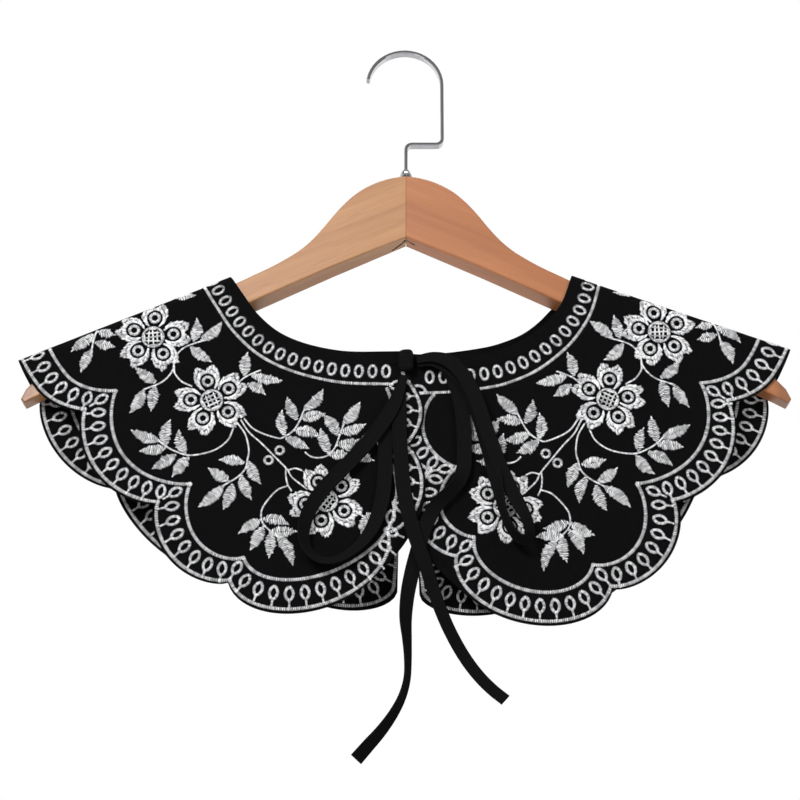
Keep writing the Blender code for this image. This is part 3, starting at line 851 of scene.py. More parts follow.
def makeNeckBand():
    inner, outer = -clothWall["collar"] / 2, clothWall["collar"] / 2 + clothWall["bandProud"]
    left, right = (bandGrid(halves[side]) for side in ("left", "right"))
    grids = {"left": left, "right": right[-2::-1]}
    parts = [wallVertices(halves[side], grid, inner, outer) for side, grid in grids.items()]
    vertices, places = (np.vstack(both) for both in zip(*parts))
    faces = wallFaces(sum(len(grid) for grid in grids.values()), left.shape[1])
    piece = makePiece("neck_band_cloth", vertices, faces, bandFinish)
    length = sum(runAlong(neckPath(half))[-1] for half in halves.values())
    area = flatArea(left) + flatArea(right)
    size = (length, clothWall["bandWidth"] + clothWall["bandSeam"])
    layCloth(piece, places, "neck_band", clothWall["bandEdge"], size)
    printStage(f"neck band {length:.0f} mm long, {area / 100:.1f} square cm shown")


for clothHalf in halves.values():
    makeCollarHalf(clothHalf)
makeNeckBand()


# Knot: the tie wound once round, drawn as a rounded pad with the creases of its turns

knotValues = {
    "x": -0.1,
    "z": -202.4,
    "half": (4.6, 2.4, 6.6),
    "creases": (-2.1, 0.9, 3.6),
    "creaseDepth": 0.42,
    "creaseWidth": 0.45,
    "power": 0.62,  # squarer than an ellipsoid
    "pull": 0.35,
    "rings": 44,
    "around": 56,
}


def makeKnot(v):
    depth = tieDepth(v["x"], v["z"], 0, 0.0) - tieValues["thickness"] / 2 + v["half"][1]
    vertices, uvs = [], []

    def squared(value):
        return math.copysign(abs(value) ** v["power"], value)

    for i in range(v["rings"] + 1):
        level = -math.cos(math.pi * i / v["rings"])
        rim = math.sqrt(max(0.0, 1.0 - level * level)) ** v["power"]
        z = (squared(level) if abs(level) > 1e-9 else 0.0) * v["half"][2]
        dent = sum(math.exp(-(((z - c) / v["creaseWidth"]) ** 2)) for c in v["creases"]) * v["creaseDepth"]
        for k in range(v["around"]):
            angle = 2.0 * math.pi * k / v["around"]
            px = squared(math.cos(angle)) * v["half"][0] * rim
            py = squared(math.sin(angle)) * v["half"][1] * rim
            shrink = 1.0 - dent * rim / max(2.0, math.hypot(px, py))
            pull = v["pull"] * math.sin(z * 0.9 + px * 0.5) * rim
            place = (v["x"] + px * shrink, py * shrink - depth, v["z"] + z + pull)
            vertices.append([part * mm for part in place])
            uvs.append((z, px + 2.0 * py))
    faces = tubeFaces(v["rings"] + 1, v["around"])
    piece = makePiece("knot_wrap", vertices, faces, tieFinish)
    addPattern(piece, uvs)
    faceOutwards(piece.data, merged=1e-6)
    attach(piece, "root")
    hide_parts("knot")


makeKnot(knotValues)
printStage("cloth and knot made")


# Embroidery, worked out on the flat pattern and then hung with the cloth.
# A stitch is a row: s, p, turn, length, width, level above the cloth.

stitchLook = {
    "width": 0.86,
    "linePitch": 1.04,
    "ringPitch": 0.88,
    "leafPitch": 0.98,
    "petalPitch": 1.0,
    "stemPitch": 0.82,
    "lift": 0.48,  # height of a thread above the cloth
    "under": 0.2,  # and below it, where each stitch goes through
    "sunk": 0.06,
    "uneven": 0.11,
    "longest": 4.4,  # a longer stitch is sewn as two
    "seed": 11,
}


def acrossPath(path, length, pitch, slant=0.0, closed=False):
    # Satin stitches side by side across a path
    line = evenPath(np.asarray(path, float)[:, :2], spacing=pitch)
    side = sideOf(line)
    if closed:
        line, side = line[:-1], side[:-1]
    turn = np.arctan2(side[:, 1], side[:, 0]) + math.radians(slant)
    full = np.ones(len(line))
    return np.column_stack([line, turn, full * length, full * stitchLook["width"], full * 0.0])


def betweenPoints(starts, ends, width=stitchLook["width"], level=0.0):
    reach = ends - starts
    turn, length = np.arctan2(reach[:, 1], reach[:, 0]), np.linalg.norm(reach, axis=1)
    full = np.ones(len(starts))
    return np.column_stack([(starts + ends) / 2, turn, length, full * width, full * level])


def splitLong(starts, ends, chance):
    # Long stitches are sewn as two that meet at an uneven line
    cuts = starts + (ends - starts) * chance.uniform(0.36, 0.64, len(starts))[:, None]
    long = np.linalg.norm(ends - starts, axis=1) > stitchLook["longest"]
    first = betweenPoints(starts, np.where(long[:, None], cuts, ends))
    second = betweenPoints(cuts[long], ends[long])
    return np.vstack([first, second])


def turned(points, centre, turn):
    c, s = math.cos(turn), math.sin(turn)
    x, y = np.asarray(points, float).T
    return np.column_stack([centre[0] + c * x - s * y, centre[1] + s * x + c * y])


def roundPath(radius):
    angles = np.linspace(0.0, 2.0 * math.pi, 49)
    return np.column_stack([radius * np.cos(angles), radius * np.sin(angles)])


def sewLoop(path, stroke):
    return acrossPath(path, stroke, stitchLook["ringPitch"], closed=True)


flowerValues = {
    "petals": 5,
    "eyeletPlace": 11.9,  # from the middle of the flower to the middle of an eyelet
    "eyeletRadius": 2.65,
    "eyeletStroke": 2.05,
    "slant": 1.12,
    "discRadius": 6.0,
    "discStroke": 1.6,
    "latticeReach": 5.5,
    "latticeStep": 2.45,
    "latticeThread": 1.05,
    "latticeTurn": 10.0,
    "frayed": 0.55,
}

# Half of a petal, outwards from the middle of the flower and sideways: its rim, and that of its black ring
petalOutline = [
    (6.9, 3.9), (9.0, 6.2), (12.4, 7.7), (16.2, 7.6), (19.4, 6.7), (21.6, 5.2), (21.0, 2.9), (19.2, 0.3),
]
petalHollow = [(6.9, 2.6), (8.6, 3.5), (10.6, 4.4), (12.6, 4.4), (14.7, 3.5), (16.0, 1.9), (16.4, 0.1)]


def sewPetal(centre, turn, chance):
    v = flowerValues
    rows = []
    for side in (-1.0, 1.0):
        grow = chance.uniform(0.94, 1.05)
        rim = smoothPath([(u, w * grow) for u, w in petalOutline], 0.25)
        rim = evenPath(rim, spacing=stitchLook["petalPitch"])
        ring = evenPath(smoothPath(petalHollow, 0.25), count=len(rim))
        ring = readPath(ring, runAlong(ring)[-1] * np.linspace(0.0, 1.0, len(rim)) ** v["slant"])
        rim = rim + unit(rim - ring) * chance.uniform(-1.0, 1.0, len(rim))[:, None] * v["frayed"]
        starts, ends = ring * [1.0, side], rim * [1.0, side]
        rows.append(splitLong(turned(starts, centre, turn), turned(ends, centre, turn), chance))
    eyelet = roundPath(v["eyeletRadius"]) + [v["eyeletPlace"], 0.0]
    rows.append(sewLoop(turned(eyelet, centre, turn), v["eyeletStroke"]))
    return np.vstack(rows)


def sewFlower(centre, turn, chance):
    v = flowerValues
    rows = []
    for i in range(v["petals"]):
        lean = math.radians(turn + 360.0 / v["petals"] * i + chance.uniform(-4.0, 4.0))
        rows.append(sewPetal(centre, lean, chance))
    disc = turned(roundPath(v["discRadius"]), centre, 0.0)
    rows.append(sewLoop(disc, v["discStroke"]))
    count = int(v["latticeReach"] / v["latticeStep"])
    for level, quarter in ((0.0, 0.0), (0.22, 90.0)):
        for k in range(-count, count + 1):
            offset = k * v["latticeStep"]
            half = math.sqrt(v["latticeReach"] ** 2 - offset**2)
            lean = math.radians(turn + v["latticeTurn"] + quarter)
            ends = turned([(-half, offset), (half, offset)], centre, lean)
            rows.append(betweenPoints(ends[:1], ends[1:], v["latticeThread"], level))
    return np.vstack(rows)


leafValues = {
    "width": 7.1,
    "narrowing": (0.55, 33.0),  # a leaf shorter than 0.45 * 33 mm is narrower
    "belly": (0.80, 0.68),  # below 1, the widest place moves to the base, and the ends get blunter
    "slope": 0.45,
    "overlap": 0.9,
    "bow": 0.09,
    "tipStart": 0.93,
    "tip": 2.0,
    "frayed": 0.5,
}


def sewLeaf(base, turn, length, chance):
    # Slanted stitches on both sides of a bowed vein, and one that draws out the tip
    v = leafValues
    t = np.linspace(0.03, 0.97, max(6, int(length / stitchLook["leafPitch"])))
    bow = v["bow"] * length * chance.uniform(-1.0, 1.0)
    vein = np.column_stack([t * length, bow * np.sin(math.pi * t)])
    least, run = v["narrowing"]
    width = v["width"] * min(1.0, least + length / run) * chance.uniform(0.94, 1.05)
    half = width / 2 * np.sin(math.pi * t ** v["belly"][0]) ** v["belly"][1]
    rows = []
    for side in (-1.0, 1.0):
        fray = half + chance.uniform(-1.0, 1.0, len(t)) * v["frayed"]
        starts = vein - np.column_stack([t * 0.0, side * chance.uniform(0.0, v["overlap"], len(t))])
        ends = np.column_stack([vein[:, 0] + fray * v["slope"] * (1.0 - t), vein[:, 1] + side * fray])
        rows.append(betweenPoints(turned(starts, base, turn), turned(ends, base, turn)))
    end = length * v["tipStart"]
    tip = turned([(end, 0.0), (end + v["tip"], -bow * 0.4)], base, turn)
    rows.append(betweenPoints(tip[:1], tip[1:]))
    return np.vstack(rows)


stemValues = {"width": 1.4, "slant": 38.0}


def sewStem(points):
    v = stemValues
    return acrossPath(smoothPath(points, 0.3), v["width"], stitchLook["stemPitch"], slant=v["slant"])


# Motifs of a front panel on the flat pattern; flowers: s, p, turn in degrees
flowers = {
    "nearShoulder": (167.5, 23.0, -119.0),
    "middle": (150.5, 72.5, -98.0),
    "nearBow": (113.0, 154.0, -161.0),
}
berries = [(126.0, 116.0), (134.0, 119.0)]
berryValues = {"radius": 2.3, "stroke": 1.75}

# Stems: s, p along each one
stems = [
    [(196, 6), (201, 13), (203.5, 17.5)],
    [(149.5, 1), (146.5, 2.5)],
    [(164, 48), (161, 40.5), (154.5, 36.5), (147.5, 36), (142, 36.5)],
    [(161, 41), (164, 47), (162.5, 54.5), (158, 60)],
    [(163, 45), (167, 48.5), (173.5, 51), (183.5, 51)],
    [(133, 69), (128, 67), (122, 66.5), (118, 66.5)],
    [
        (146, 94), (150.5, 98.5), (157.5, 101), (165, 101), (174.5, 98.5), (181, 93), (184.5, 88.5),
        (187.5, 83),
    ],
    [
        (142, 91.5), (140.5, 98.5), (141, 104.5), (142.5, 110), (145, 114), (148, 118.5), (154, 121.5),
        (163, 123),
    ],
    [
        (137.5, 90.5), (135.5, 97), (131.5, 102.5), (124, 109), (120.5, 109.5), (115.5, 108.5),
        (110.5, 105.5), (104, 99),
    ],
    [(139.5, 90.5), (138, 99), (134, 108), (130, 118.5), (126.5, 128), (125.5, 134), (120.5, 143.5)],
    [(126, 129), (122, 129.5), (119, 132)],
    [(127, 128), (128.5, 131.5), (129.5, 136.5), (129, 141)],
    [(130, 137.5), (136, 137.5), (143.5, 141), (149, 145.5), (151, 152.5), (148, 160), (145.5, 164.5)],
    [(113, 123), (111, 126.5), (107, 129), (101.5, 129.5), (96, 126.5), (91.5, 121.5), (86.5, 116)],
]

# Leaves: s, p of the base, turn in degrees, length
leaves = [
    (197, 8, 15, 17.5), (200, 13, 145, 11.5), (203, 16, 45, 14.5), (196, 7, 145, 10),
    (147, 0.5, 145, 13.5),
    (147, 35, -120, 14), (143, 36, -160, 16), (150, 37, 120, 15),
    (176, 50, -60, 15), (184, 51, 40, 15.5), (177, 51, 60, 15.5),
    (128, 66, -120, 14), (124, 67, 145, 18), (128, 71, 125, 12),
    (176, 97, -95, 14.5), (175, 99, 30, 14.5), (181, 95, 10, 15.5), (185, 88, -120, 15.5),
    (185, 89, -15, 14.5), (187, 84, -45, 17.5),
    (147, 115, -30, 14), (145, 115, 95, 15), (152, 121, 90, 15.5), (159, 122, -55, 14),
    (158, 124, 50, 15.5), (163, 123, 20, 18.5),
    (120, 109, -105, 15), (110, 103, -90, 14.5), (104, 99, -155, 16), (108, 103, 170, 14),
    (114, 108, 145, 15), (120, 110, 130, 14.5),
    (101, 129, -95, 15.5), (92, 121, -80, 15), (87, 116, -150, 16), (90, 120, 175, 14.5),
    (95, 126, 170, 12.5), (101, 130, 160, 11),
    (151, 150, 10, 14.5), (150, 150, 145, 14.5), (151, 154, 40, 15.5), (150, 159, 160, 15.5),
    (149, 159, 65, 14.5), (146, 162, 95, 19.5),
]

# Two small sprigs that only the left half has
ownStems = {
    "left": [[(102, 162), (99.9, 167), (97, 172)], [(91, 131), (86, 134), (82, 132.5)]],
    "right": [],
}
ownLeaves = {
    "left": [(97, 171, 60, 10), (97, 172, 175, 6), (87, 134, 130, 11.5), (83, 133, -150, 11)],
    "right": [],
}

backReach = 145.0  # the shorter back panels have no leaves beyond this

# The right half's motifs sit a little further in near the shoulder
panelShift = {"left": (0.0, 0.0, 0.0), "right": (-5.6, 0.040, -1.4)}


def onPanel(rows, side, face):
    # Moves stitches to a half's own place, and mirrors them for its back panel
    rows = rows.copy()
    base, slope, down = panelShift[side]
    rows[:, 0] += base + slope * rows[:, 1]
    rows[:, 1] += down
    if face < 0:
        rows[:, 1] *= -1.0
        rows[:, 2] *= -1.0
    return rows


borderValues = {
    "margin": 1.15,  # black cloth outside the outer line
    "lineWidth": 2.35,
    "depth": 16.5,  # from the outer line to the inner one
    "ringDepth": 8.6,
    "ringHalf": (2.3, 3.85),
    "ringPower": 1.22,  # above 1 draws the ring's ends to points
    "ringStroke": 1.95,
    "ringPitch": 8.6,
    "cornerCut": 8.0,  # how far apart the points are that round off the rings' path at the corner
    "ringLean": 0.32,
    "leanTo": (70.0, 10.0),
    "stemWidth": 1.45,
    "innerStart": 1,
}
# From each corner of the hem to the same corner of the inner line on the flat pattern: s, p; where it is
# None, the corner's own middle direction
cornerInsets = {
    "left": [
        (14.5, -1.5), (14.5, -1.5), (15.0, -8.0), (-11.0, -17.0), (-13.5, -10.0), (-23.5, -3.0),
        (-23.0, -4.0), (-21.0, 4.0), (-23.0, 3.0), (-14.0, 12.0), None, None, None,
    ],
    "right": [
        (21.5, 0.5), (21.5, 0.5), (15.0, -8.0), (6.5, -15.5), (-15.0, -9.5), (-25.0, -2.5), (-20.0, -5.5),
        (-21.0, 4.0), (-23.0, 3.0), (-14.0, 12.0), None, None, None,
    ],
}
innerBulges = {"left": {}, "right": {1: 3.6, 2: 1.6}}  # how much fuller the inner line's scallops are
neckValues = {
    "ringOut": (10.6, 12.6),  # from the neck edge, at the shoulder and at the centre front
    "lineOut": (16.6, 20.6),
    "lineWidth": 2.15,
    "ringHalf": (2.15, 3.55),
    "ringStroke": 1.85,
    "ringPitch": 7.8,
    "frontDrop": {"left": (0.0, 0.0), "right": (3.8, 1.6)},  # further out at the centre front: line, rings
    "frontGap": {"left": (10.5, 10.5), "right": (6.0, 14.5)},  # for the line and for its rings
    "backGap": 17.5,  # the border of the centre back takes this much
}


def ringPath(half, power):
    angles = np.linspace(0.0, 2.0 * math.pi, 97)
    turns = (np.cos(angles), np.sin(angles))
    return np.column_stack([size * np.sign(c) * np.abs(c) ** power for size, c in zip(half, turns)])


def borderRows(half):
    # Corners, insets and scallops of the embroidered border, round one half from neck to neck
    v = gridValues
    corners = [np.array(half.flat("front", *frontEdges[half.side][0][1:3])) - [0.0, 9.0]]
    shapes = []
    for face, x, z, bulge, fullness, _ in frontEdges[half.side] + hems[half.side]:
        corners.append(np.array(half.flat(face, x, z)))
        shapes.append([bulge, fullness, 0.5])
    shapes[len(frontEdges[half.side]) + v["shoulderRow"]][2] = v["shoulderPeak"]
    neckEnd = neckPath(half)[-1, :2]
    corners.append(np.array([neckEnd[0] + v["backSplit"], neckEnd[1] - neckValues["lineOut"][0]]))
    shapes.append([0.0, 1.0, 0.5])
    return corners, shapes


def borderArcs(half, inward):
    # The scallops again, that far inside the edge, and which way each one's corners point inwards
    corners, shapes = borderRows(half)
    whole = borderValues["margin"] + borderValues["lineWidth"] / 2 + borderValues["depth"]
    chords = [b - a for a, b in zip(corners, corners[1:])]
    outward = [leftOf(chord) for chord in chords]
    inner, pointing = [], []
    for i, (corner, inset) in enumerate(zip(corners, cornerInsets[half.side])):
        before, after = outward[max(i - 1, 0)], outward[min(i, len(outward) - 1)]
        middle = before + after
        middle /= np.linalg.norm(middle)
        step = -middle * whole / max(0.6, float(middle @ before)) if inset is None else np.array(inset)
        inner.append(corner + step * inward / whole)
        pointing.append(step / np.linalg.norm(step))
    arcs = []
    for i, (bulge, fullness, peak) in enumerate(shapes):
        a, b = inner[i], inner[i + 1]
        edgeTop = corners[i] + chords[i] * peak + outward[i] * (bulge - inward)
        rise = float((edgeTop - (a + (b - a) * peak)) @ outward[i])
        rise += innerBulges[half.side].get(i, 0.0) * inward / whole
        arcs.append(scallop(a, b - a, outward[i], rise, fullness, peak, 91))
    return arcs, pointing


def sewRing(v, power, spot, axis):
    path = turned(ringPath(v["ringHalf"], power), spot, math.atan2(axis[1], axis[0]) - math.pi / 2)
    return sewLoop(path, v["ringStroke"])


def sewBorder(half):
    v = borderValues
    edge = v["margin"] + v["lineWidth"] / 2
    rows = []
    for inward, first in ((edge, 0), (edge + v["depth"], v["innerStart"])):
        for arc in borderArcs(half, inward)[0][first:]:
            rows.append(acrossPath(arc, v["lineWidth"], stitchLook["linePitch"], slant=6.0))
    arcs, pointing = borderArcs(half, edge + v["ringDepth"])
    # The rings follow the outer line round the corner of the centre back
    around = outset(np.vstack(borderArcs(half, edge)[0][-2:]), -v["ringDepth"])
    apart = np.linalg.norm(around - arcs[-2][0], axis=1)
    around = evenPath(np.vstack([arcs[-2][:1], around[apart > v["ringPitch"]]]), spacing=v["cornerCut"])
    arcs[-2:] = [smoothPath(around, 0.5)]
    for i, arc in enumerate(arcs[v["innerStart"] :], v["innerStart"]):
        run = runAlong(arc)[-1]
        count = max(1, int(round(run / v["ringPitch"])))
        spots = readPath(arc, np.arange(count) / count * run)
        inside = -sideOf(readPath(arc, np.arange(count + 1) / count * run))
        for k, spot in enumerate(spots):
            if k:
                pull = np.array([v["leanTo"][0], math.copysign(v["leanTo"][1], spot[1])]) - spot
                axis = inside[k] + v["ringLean"] * pull / np.linalg.norm(pull)
            else:
                axis = pointing[i]
            axis = axis / np.linalg.norm(axis)
            rows.append(sewRing(v, v["ringPower"], spot, axis))
            foot = spot - axis * (v["ringHalf"][1] + 0.6)
            end = spot - axis * (v["ringDepth"] - 0.8)
            rows.append(acrossPath([foot, end], v["stemWidth"], stitchLook["ringPitch"]))
    return np.vstack(rows)


def sewNeck(half):
    v = neckValues
    neck = neckPath(half)
    side = sideOf(neck)
    run = runAlong(neck)
    fold = crossing(neck, 0.0)
    toFront = np.clip(1.0 - run / fold, 0.0, 1.0)[:, None]
    lines = {}
    for key, drop in zip(("lineOut", "ringOut"), v["frontDrop"][half.side]):
        out = v[key][0] + (v[key][1] + drop - v[key][0]) * toFront
        lines[key] = neck[:, :2] + out * side
    (start, ringStart), end = v["frontGap"][half.side], v["backGap"]
    line = lines["lineOut"]
    line = readPath(line, np.linspace(start, runAlong(line)[-1] - end, 400))
    rows = [acrossPath(line, v["lineWidth"], stitchLook["linePitch"], slant=6.0)]
    middle = lines["ringOut"]
    length = runAlong(middle)[-1] - ringStart - end
    count = int(length / v["ringPitch"])
    spots = readPath(middle, ringStart + (np.arange(count) + 0.5) * length / count)
    for spot, across in zip(spots, sideOf(spots)):
        rows.append(sewRing(v, 1.0, spot, across))
    return np.vstack(rows)


def makeStitchTree():
    # Threads set on points, turned, stretched and shaded by each point's own values
    tree = bpy.data.node_groups.new("satinStitches", "GeometryNodeTree")
    kinds = {"Points": "Geometry", "Thread": "Object", "Uneven": "Float", "Seed": "Int", "Finish": "Material"}
    for name, kind in kinds.items():
        tree.interface.new_socket(name, in_out="INPUT", socket_type="NodeSocket" + kind)
    tree.interface.new_socket("Stitches", in_out="OUTPUT", socket_type="NodeSocketGeometry")
    board = NodeBoard(tree)
    given = board.add("NodeGroupInput").outputs

    def geometry(kind, links, **settings):
        return board.add("GeometryNode" + kind, links, **settings).outputs

    def pointValue(name):
        return geometry("InputNamedAttribute", {"Name": name}, data_type="FLOAT")["Attribute"]

    def chance(low, offset):
        links = {"Seed": board.math("ADD", given["Seed"], offset), 2: low, 3: 1.0}
        return board.add("FunctionNodeRandomValue", links, data_type="FLOAT").outputs[1]

    def vector(**links):
        return board.add("ShaderNodeCombineXYZ", links).outputs["Vector"]

    lean = board.math("ADD", pointValue("turn"), board.times(chance(-1.0, 1.0), given["Uneven"]))
    stretch = board.math("ADD", board.times(chance(-1.0, 2.0), given["Uneven"]), 1.0)
    reach = board.times(pointValue("reach"), stretch)
    links = {"Geometry": given["Points"], "Name": "shade", "Value": chance(0.0, 3.0)}
    shaded = geometry("StoreNamedAttribute", links, data_type="FLOAT", domain="POINT")
    thread = geometry("ObjectInfo", {"Object": given["Thread"]}, transform_space="ORIGINAL")
    links = {
        "Points": shaded["Geometry"],
        "Instance": thread["Geometry"],
        "Rotation": vector(Z=lean),
        "Scale": vector(X=reach, Y=pointValue("breadth"), Z=pointValue("lift")),
    }
    real = geometry("RealizeInstances", {"Geometry": geometry("InstanceOnPoints", links)["Instances"]})
    dressed = geometry("SetMaterial", {"Geometry": real["Geometry"], "Material": given["Finish"]})
    board.add("NodeGroupOutput", {"Stitches": dressed["Geometry"]})
    return tree


def makeThread():
    # One closed thread, one unit long, wide and high, low at its ends
    rings, tip = (-0.30, 0.30), 0.12
    vertices = [(-0.5, 0.0, tip)]
    for x in rings:
        vertices += [(x, -0.5, 0.0), (x, 0.0, 1.0), (x, 0.5, 0.0)]
    vertices.append((0.5, 0.0, tip))
    last = len(vertices) - 1
    faces = []
    for k in range(3):
        n = (k + 1) % 3
        faces += [(0, 1 + n, 1 + k), (1 + k, 1 + n, 4 + n, 4 + k), (last, last - 3 + k, last - 3 + n)]
    mesh = bpy.data.meshes.new("threadShape")
    mesh.from_pydata(vertices, [], faces)
    mesh.shade_smooth()
    faceOutwards(mesh)
    return addObject("threadShape", mesh)


def sew(name, half, rows, tree, thread):
    # Points on the flat pattern become threads on both faces, which are then hung with the cloth
    v = stitchLook
    base = clothWall["collar"] / 2 - v["sunk"]
    upper = np.column_stack([rows[:, :2], base + rows[:, 5], rows[:, 2:5], np.full(len(rows), v["lift"])])
    lower = upper.copy()
    lower[:, 2], lower[:, 6] = -base, -v["under"]
    rows = np.vstack([upper, lower])
    mesh = bpy.data.meshes.new(name + "_points")
    mesh.from_pydata(rows[:, :3].tolist(), [], [])
    for key, column in (("turn", 3), ("reach", 4), ("breadth", 5), ("lift", 6)):
        values = rows[:, column].astype(np.float32)
        mesh.attributes.new(key, "FLOAT", "POINT").data.foreach_set("value", values)
    holder = addObject(name + "_points", mesh)
    modifier = holder.modifiers.new("stitches", "NODES")
    modifier.node_group = tree
    inputs = {"Thread": thread, "Uneven": v["uneven"], "Seed": v["seed"], "Finish": threadFinish}
    for item in tree.interface.items_tree:
        if item.name in inputs:
            modifier[item.identifier] = inputs[item.name]
    sewn = bpy.data.meshes.new_from_object(holder.evaluated_get(bpy.context.evaluated_depsgraph_get()))
    bpy.data.objects.remove(holder)
    places = np.empty(len(sewn.vertices) * 3)
    sewn.vertices.foreach_get("co", places)
    sewn.vertices.foreach_set("co", half.hang(*places.reshape(-1, 3).T).ravel())
    faceOutwards(sewn)
    piece = addObject(name, sewn)
    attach(piece, "root")
    printStage(f"{name}: {len(rows) // 2} stitches, {len(sewn.polygons)} faces")


def sewPanels():
    tree, thread = makeStitchTree(), makeThread()
    for side, half in halves.items():
        chance = np.random.RandomState(stitchLook["seed"] + len(side))
        flowerRows, leafRows = [], []
        for face in (1, -1):
            for s, p, turn in flowers.values():
                flowerRows.append(onPanel(sewFlower((s, p), turn, chance), side, face))
            reach = 200.0 if face > 0 else backReach
            for row in leaves + ownLeaves[side]:
                if row[1] <= reach:
                    leaf = sewLeaf(row[:2], math.radians(row[2]), row[3], chance)
                    leafRows.append(onPanel(leaf, side, face))
            for stem in stems + ownStems[side]:
                if stem[-1][1] <= reach:
                    leafRows.append(onPanel(sewStem(stem), side, face))
            for berry in berries:
                circle = turned(roundPath(berryValues["radius"]), berry, 0.0)
                leafRows.append(onPanel(sewLoop(circle, berryValues["stroke"]), side, face))
        sew("border_stitches_" + side, half, sewBorder(half), tree, thread)
        sew("neck_stitches_" + side, half, sewNeck(half), tree, thread)
        sew("flower_stitches_" + side, half, np.vstack(flowerRows), tree, thread)
        sew("leaf_stitches_" + side, half, np.vstack(leafRows), tree, thread)
    bpy.data.objects.remove(thread)


sewPanels()


# Hanger and hook keep their solids and get their finishes

armFall = 0.45  # slope of the hanger's arms


def dressHanger():
    looks = {
        "hanger_left": makeWoodFinish("paleHangerWoodLeft", woodLook, -armFall, 0.0, (1.0, 1.0, 1.0)),
        "hanger_right": makeWoodFinish("paleHangerWoodRight", woodLook, armFall, 0.7, (0.94, 0.70, 0.58)),
        "hook": steelFinish,
        "ferrule": steelFinish,
    }
    for node, finish in looks.items():
        bpy.data.objects[node].material_slots[0].material = finish


def makeSlabs(name, vertices, finish):
    # Every eight vertices are a slab's two faces, each given round its edge
    faces = []
    for n in range(0, len(vertices), 8):
        faces += [(n, n + 1, n + 2, n + 3), (n + 4, n + 5, n + 6, n + 7)]
        faces += [(n + k, n + (k + 1) % 4, n + 4 + (k + 1) % 4, n + 4 + k) for k in range(4)]
    piece = makePiece(name, np.array(vertices) * mm, faces, finish, 30.0)
    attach(piece, "root")


dressHanger()


# Glue line of the mitre between the two halves of the hanger
glueValues = {
    "thickness": 0.26,
    "depth": 5.6,
    "top": -83.6,
    "low": -121.8,
    "slotFoot": -94.5,
    "slotSide": 3.5,
}


def makeGlueLine(v):
    glue = makeMottled("paleGlue", 300.0, (0.42, 0.22, 0.09), (0.50, 0.28, 0.12), 0.6)
    half, side, slot, foot = v["thickness"] / 2, v["depth"], v["slotSide"], v["slotFoot"]
    boxes = ((-side, side, v["low"], foot), (-side, -slot, foot, v["top"]), (slot, side, foot, v["top"]))
    vertices = []
    for near, far, low, high in boxes:
        for x in (-half, half):
            vertices += [(x, near, low), (x, far, low), (x, far, high), (x, near, high)]
    makeSlabs("mitre_glue", vertices, glue)


makeGlueLine(glueValues)

# Open joint on the underside of the mitre, each row a dark strip: x, y at both ends
jointValues = {
    "strips": [((-8.0, 3.6), (-2.6, 0.4)), ((-3.0, 1.0), (-0.4, -2.4)), ((0.5, -2.2), (5.2, -0.6))],
    "width": 1.25,
    "taper": 0.3,  # of the width, at the first end
    "lowFront": (-122.4, -141.0, 43.5),  # z at the middle, z at the last point, x there
    "lowBack": (-123.9, -143.8, 43.5),
}


def undersideLevel(v, x, y):
    ends = (v["lowFront"], v["lowBack"])
    front, back = (middle + (last - middle) * abs(x) / reach for middle, last, reach in ends)
    return front + (back - front) * (y + 6.0) / 12.0


def makeOpenJoint(v):
    shadow = makeMottled("jointShadow", 500.0, (0.004, 0.0025, 0.0015), (0.010, 0.006, 0.004), 0.9)
    vertices = []
    for a, b in v["strips"]:
        a, b = np.array(a), np.array(b)
        side = leftOf(b - a) * v["width"] / 2
        for lift in (0.25, -0.06):
            for x, y in (a - side * v["taper"], b - side, b + side, a + side * v["taper"]):
                vertices.append((x, y, undersideLevel(v, x, y) + lift))
    makeSlabs("open_joint", vertices, shadow)


makeOpenJoint(jointValues)


# Room and lights

roomValues = {"floor": -2600.0, "size": 3000.0, "behind": 1.0, "front": 0.45, "turn": (-0.25, 0.45)}
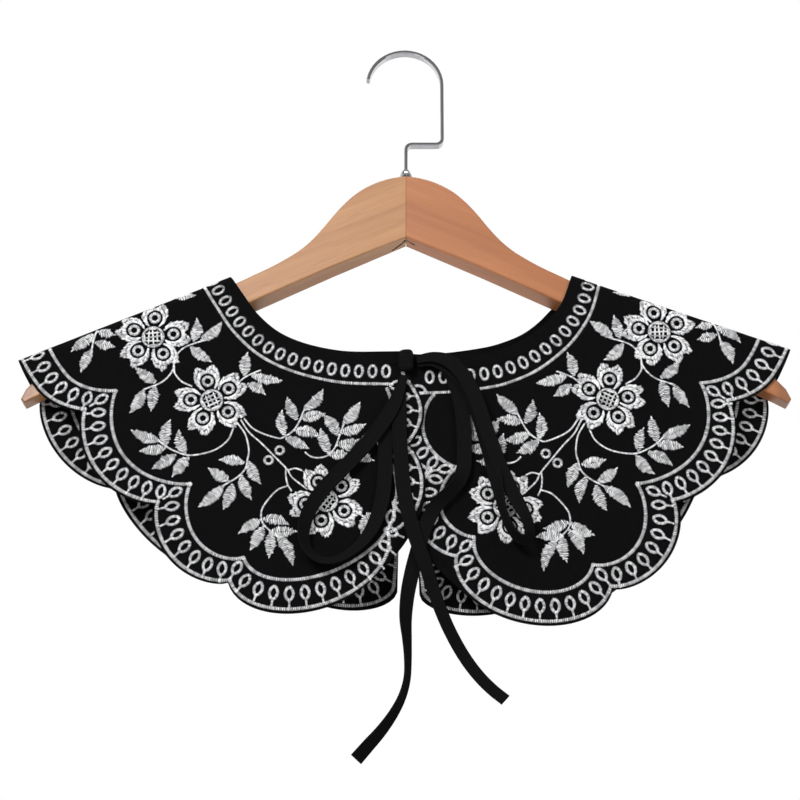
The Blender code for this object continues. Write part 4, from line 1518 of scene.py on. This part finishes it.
# Dark curtains to the right, overhead, in front and below, which the polished hook reflects, and brighter
# light from straight below: axis, where it begins, where it is full, how much light is left there
curtains = (
    ("X", 0.50, 0.75, 0.5),
    ("Z", 0.62, 0.85, 0.3),
    ("Y", -0.70, -0.86, 0.4),
    ("Z", -0.18, -0.34, 0.70),
    ("Z", -0.56, -0.80, 4.6),
)
lampValues = {
    "keyLamp": {"place": (-700, -1500, 500), "aim": (0, 0, -230), "size": 600, "power": 30.0},
    "fillLamp": {"place": (900, -1300, -300), "aim": (0, 0, -230), "size": 1100, "power": 8.0},
    "topLamp": {"place": (100, -200, 1100), "aim": (0, 0, -150), "size": 900, "power": 7.0},
}


def makeRoom(values):
    # A white wall behind the object and a greyer room in front of it
    world = bpy.data.worlds.new("softRoom")
    world.use_nodes = True
    board = NodeBoard(world.node_tree)
    split = board.split(board.add("ShaderNodeTexCoord").outputs["Generated"])
    strength = board.band(split["Y"], *values["turn"], values["front"], values["behind"])
    for axis, start, end, left in curtains:
        strength = board.times(strength, board.band(split[axis], start, end, 1.0, left))
    background = world.node_tree.nodes["Background"]
    board.give(background.inputs["Strength"], strength)
    board.give(background.inputs["Color"], (1.0, 1.0, 1.0, 1.0))
    bpy.context.scene.world = world
    half = values["size"] / 2 * mm
    z = values["floor"] * mm
    mesh = bpy.data.meshes.new("paleFloor")
    corners = [(x * half, y * half, z) for x, y in ((-1, -1), (1, -1), (1, 1), (-1, 1))]
    mesh.from_pydata(corners, [], [(0, 1, 2, 3)])
    mesh.materials.append(makeMottled("paleFloorFinish", 3.0, (0.80, 0.80, 0.80), (0.84, 0.84, 0.84), 0.8))
    addObject("paleFloor", mesh)


def makeLamps(table):
    for name, values in table.items():
        data = bpy.data.lights.new(name, "AREA")
        data.shape = "DISK"
        data.size = values["size"] * mm
        data.energy = values["power"]
        lamp = addObject(name, data)
        place, aim = np.array(values["place"], float), np.array(values["aim"], float)
        lamp.location = [v * mm for v in place]
        x, y, z = aim - place
        lamp.rotation_euler = (math.atan2(math.hypot(x, y), -z), 0.0, math.atan2(y, x) - math.pi / 2)


makeRoom(roomValues)
makeLamps(lampValues)
bpy.context.scene.view_settings.view_transform = "Standard"
printStage("lights set")
